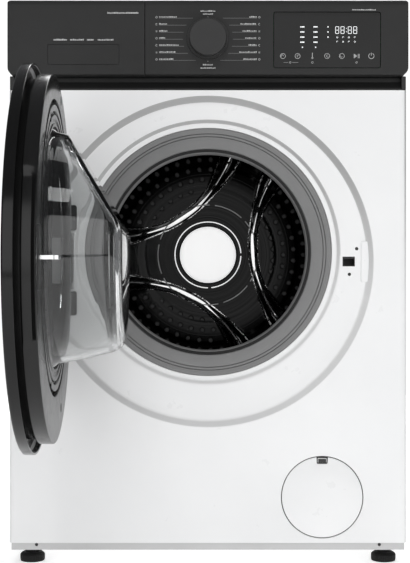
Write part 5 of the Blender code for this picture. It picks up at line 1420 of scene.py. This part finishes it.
def build_lock_and_hinge():
    bm = bmesh.new()
    half_w, half_h = LATCH_HALF_W, LATCH_HALF_H
    wall = 0.0012
    for x0, x1, z0, z1 in ((-half_w, half_w, -half_h, -half_h + wall),
                           (-half_w, half_w, half_h - wall, half_h),
                           (-half_w, -half_w + wall, -half_h, half_h),
                           (half_w - wall, half_w, -half_h, half_h)):
        block(bm, (LATCH_X + x0, RECESS_Y - 0.0004, DOOR_Z + z0),
              (LATCH_X + x1, RECESS_Y + 0.0060, DOOR_Z + z1))
    put("latch_frame", bm, "dark_plastic", bevel=0.0002)
    bm = bmesh.new()
    block(bm, (LATCH_X - half_w + wall, RECESS_Y + 0.0012, DOOR_Z + 0.0040),
          (LATCH_X + half_w - wall, RECESS_Y + 0.0062, DOOR_Z + 0.0056))
    put("latch_lip", bm, "dark_plastic", bevel=0.0003)
    bm = slab(0.2305, 0.2425, 0.4252, 0.4859, RECESS_Y - 0.0022, RECESS_Y + 0.0010, (0.0005,) * 4,
              (0.0012,) * 4)
    put("hand_pad", bm, "white_enamel", sharp=40.0)
    bm = bmesh.new()
    for x, z in ((0.224, 0.4750), (0.213, 0.4365)):
        slotted_screw(bm, x, z, RECESS_Y - 0.0008, 0.0024)
    put("lock_screws", bm, "dark_plastic", "cabinet")
    bm = bmesh.new()
    for low, high in ((-0.0880, -0.0480), (0.0480, 0.0880)):
        slab(-0.2300, -0.1960, DOOR_Z + low, DOOR_Z + high, RECESS_Y - 0.0026, RECESS_Y + 0.0006,
             (0.0008,) * 4,
             (0.004,) * 4, bm=bm)
    put("hinge_covers", bm, "dark_plastic", sharp=40.0)
    bm = bmesh.new()
    for dz in (-0.080, -0.056, 0.056, 0.080):
        slotted_screw(bm, -0.213, DOOR_Z + dz, RECESS_Y - 0.0036, 0.0038)
    put("hinge_cover_screws", bm, "bright_steel")


# ---------------------------------------------------------------- the scene around it
CAMERA_BACK, CAMERA_Z = 1.940, 0.4354


def area(name, spot, target, size, power, size_y=None):
    light = bpy.data.lights.new(name, "AREA")
    light.shape = "RECTANGLE"
    light.size = size
    light.size_y = size_y or size
    light.energy = power
    holder = bpy.data.objects.new(name, light)
    holder.location = spot
    holder.rotation_euler = (Vector(target) - Vector(spot)).to_track_quat("-Z", "Y").to_euler()
    bpy.context.scene.collection.objects.link(holder)
    return holder


def build_stage():
    bm = bmesh.new()
    bmesh.ops.create_grid(bm, x_segments=24, y_segments=24, size=2.8)
    mesh = bpy.data.meshes.new("floor")
    bm.to_mesh(mesh)
    bm.free()
    mesh.materials.append(LOOK["floor"])
    floor = bpy.data.objects.new("floor", mesh)
    floor.location.z = -0.0002
    bpy.context.scene.collection.objects.link(floor)
    area("front_wall", (0.0, -3.4, 1.15), (0, 0, 0.60), 4.6, 49.0, 2.3)
    area("key", (0.0, -2.0, 2.9), (0, 0.0, 0.45), 1.2, 25.0, 0.8).visible_glossy = False
    area("top", (0.0, 0.6, 3.0), (0, 0.1, 0.4), 2.0, 16.0, 1.2).visible_glossy = False
    area("rear", (0.6, 3.0, 2.2), (0, 0.4, 0.45), 2.4, 60.0, 1.6)
    world = bpy.data.worlds.new("studio")
    bpy.context.scene.world = world
    world.use_nodes = True
    tree = world.node_tree
    seen = tree.nodes["Background"]
    seen.inputs["Color"].default_value = (1.0, 1.0, 1.0, 1.0)
    seen.inputs["Strength"].default_value = 1.05
    lit = tree.nodes.new("ShaderNodeBackground")
    lit.inputs["Color"].default_value = (0.95, 0.97, 1.0, 1.0)
    lit.inputs["Strength"].default_value = 0.17
    path = tree.nodes.new("ShaderNodeLightPath")
    mix = tree.nodes.new("ShaderNodeMixShader")
    tree.links.new(path.outputs["Is Camera Ray"], mix.inputs["Fac"])
    tree.links.new(lit.outputs["Background"], mix.inputs[1])
    tree.links.new(seen.outputs["Background"], mix.inputs[2])
    tree.links.new(mix.outputs["Shader"], tree.nodes["World Output"].inputs["Surface"])

    camera = bpy.data.cameras.new("camera")
    camera.lens = 82.8
    camera.sensor_width = 36.0
    camera.shift_x = -0.0052
    camera.shift_y = -0.0115
    holder = bpy.data.objects.new("camera", camera)
    holder.location = (0.0, OFFSET - CAMERA_BACK, CAMERA_Z)
    holder.rotation_euler = (math.radians(90.0), 0.0, 0.0)
    bpy.context.scene.collection.objects.link(holder)
    bpy.context.scene.camera = holder
    bpy.context.scene.view_settings.view_transform = "Standard"
    bpy.context.scene.view_settings.look = "None"


build_front_panel()
build_flap()
build_base()
build_worktop()
build_rear()
build_fascia()
build_drawer()
build_grip_strip()
build_knob()
build_print()
build_display()
build_touch_marks()
build_seal()
build_drum_back()
build_back_holes()
build_drum_wall()
build_drum_mouth()
build_hub()
for number in (1, 2, 3):
    build_lifter(number, 120.0 * number - 60.0)
build_glazing()
build_frame()
build_frame_screws()
build_latch_plate()
build_liner()
build_bowl()
build_hook()
build_lock_and_hinge()
build_stage()
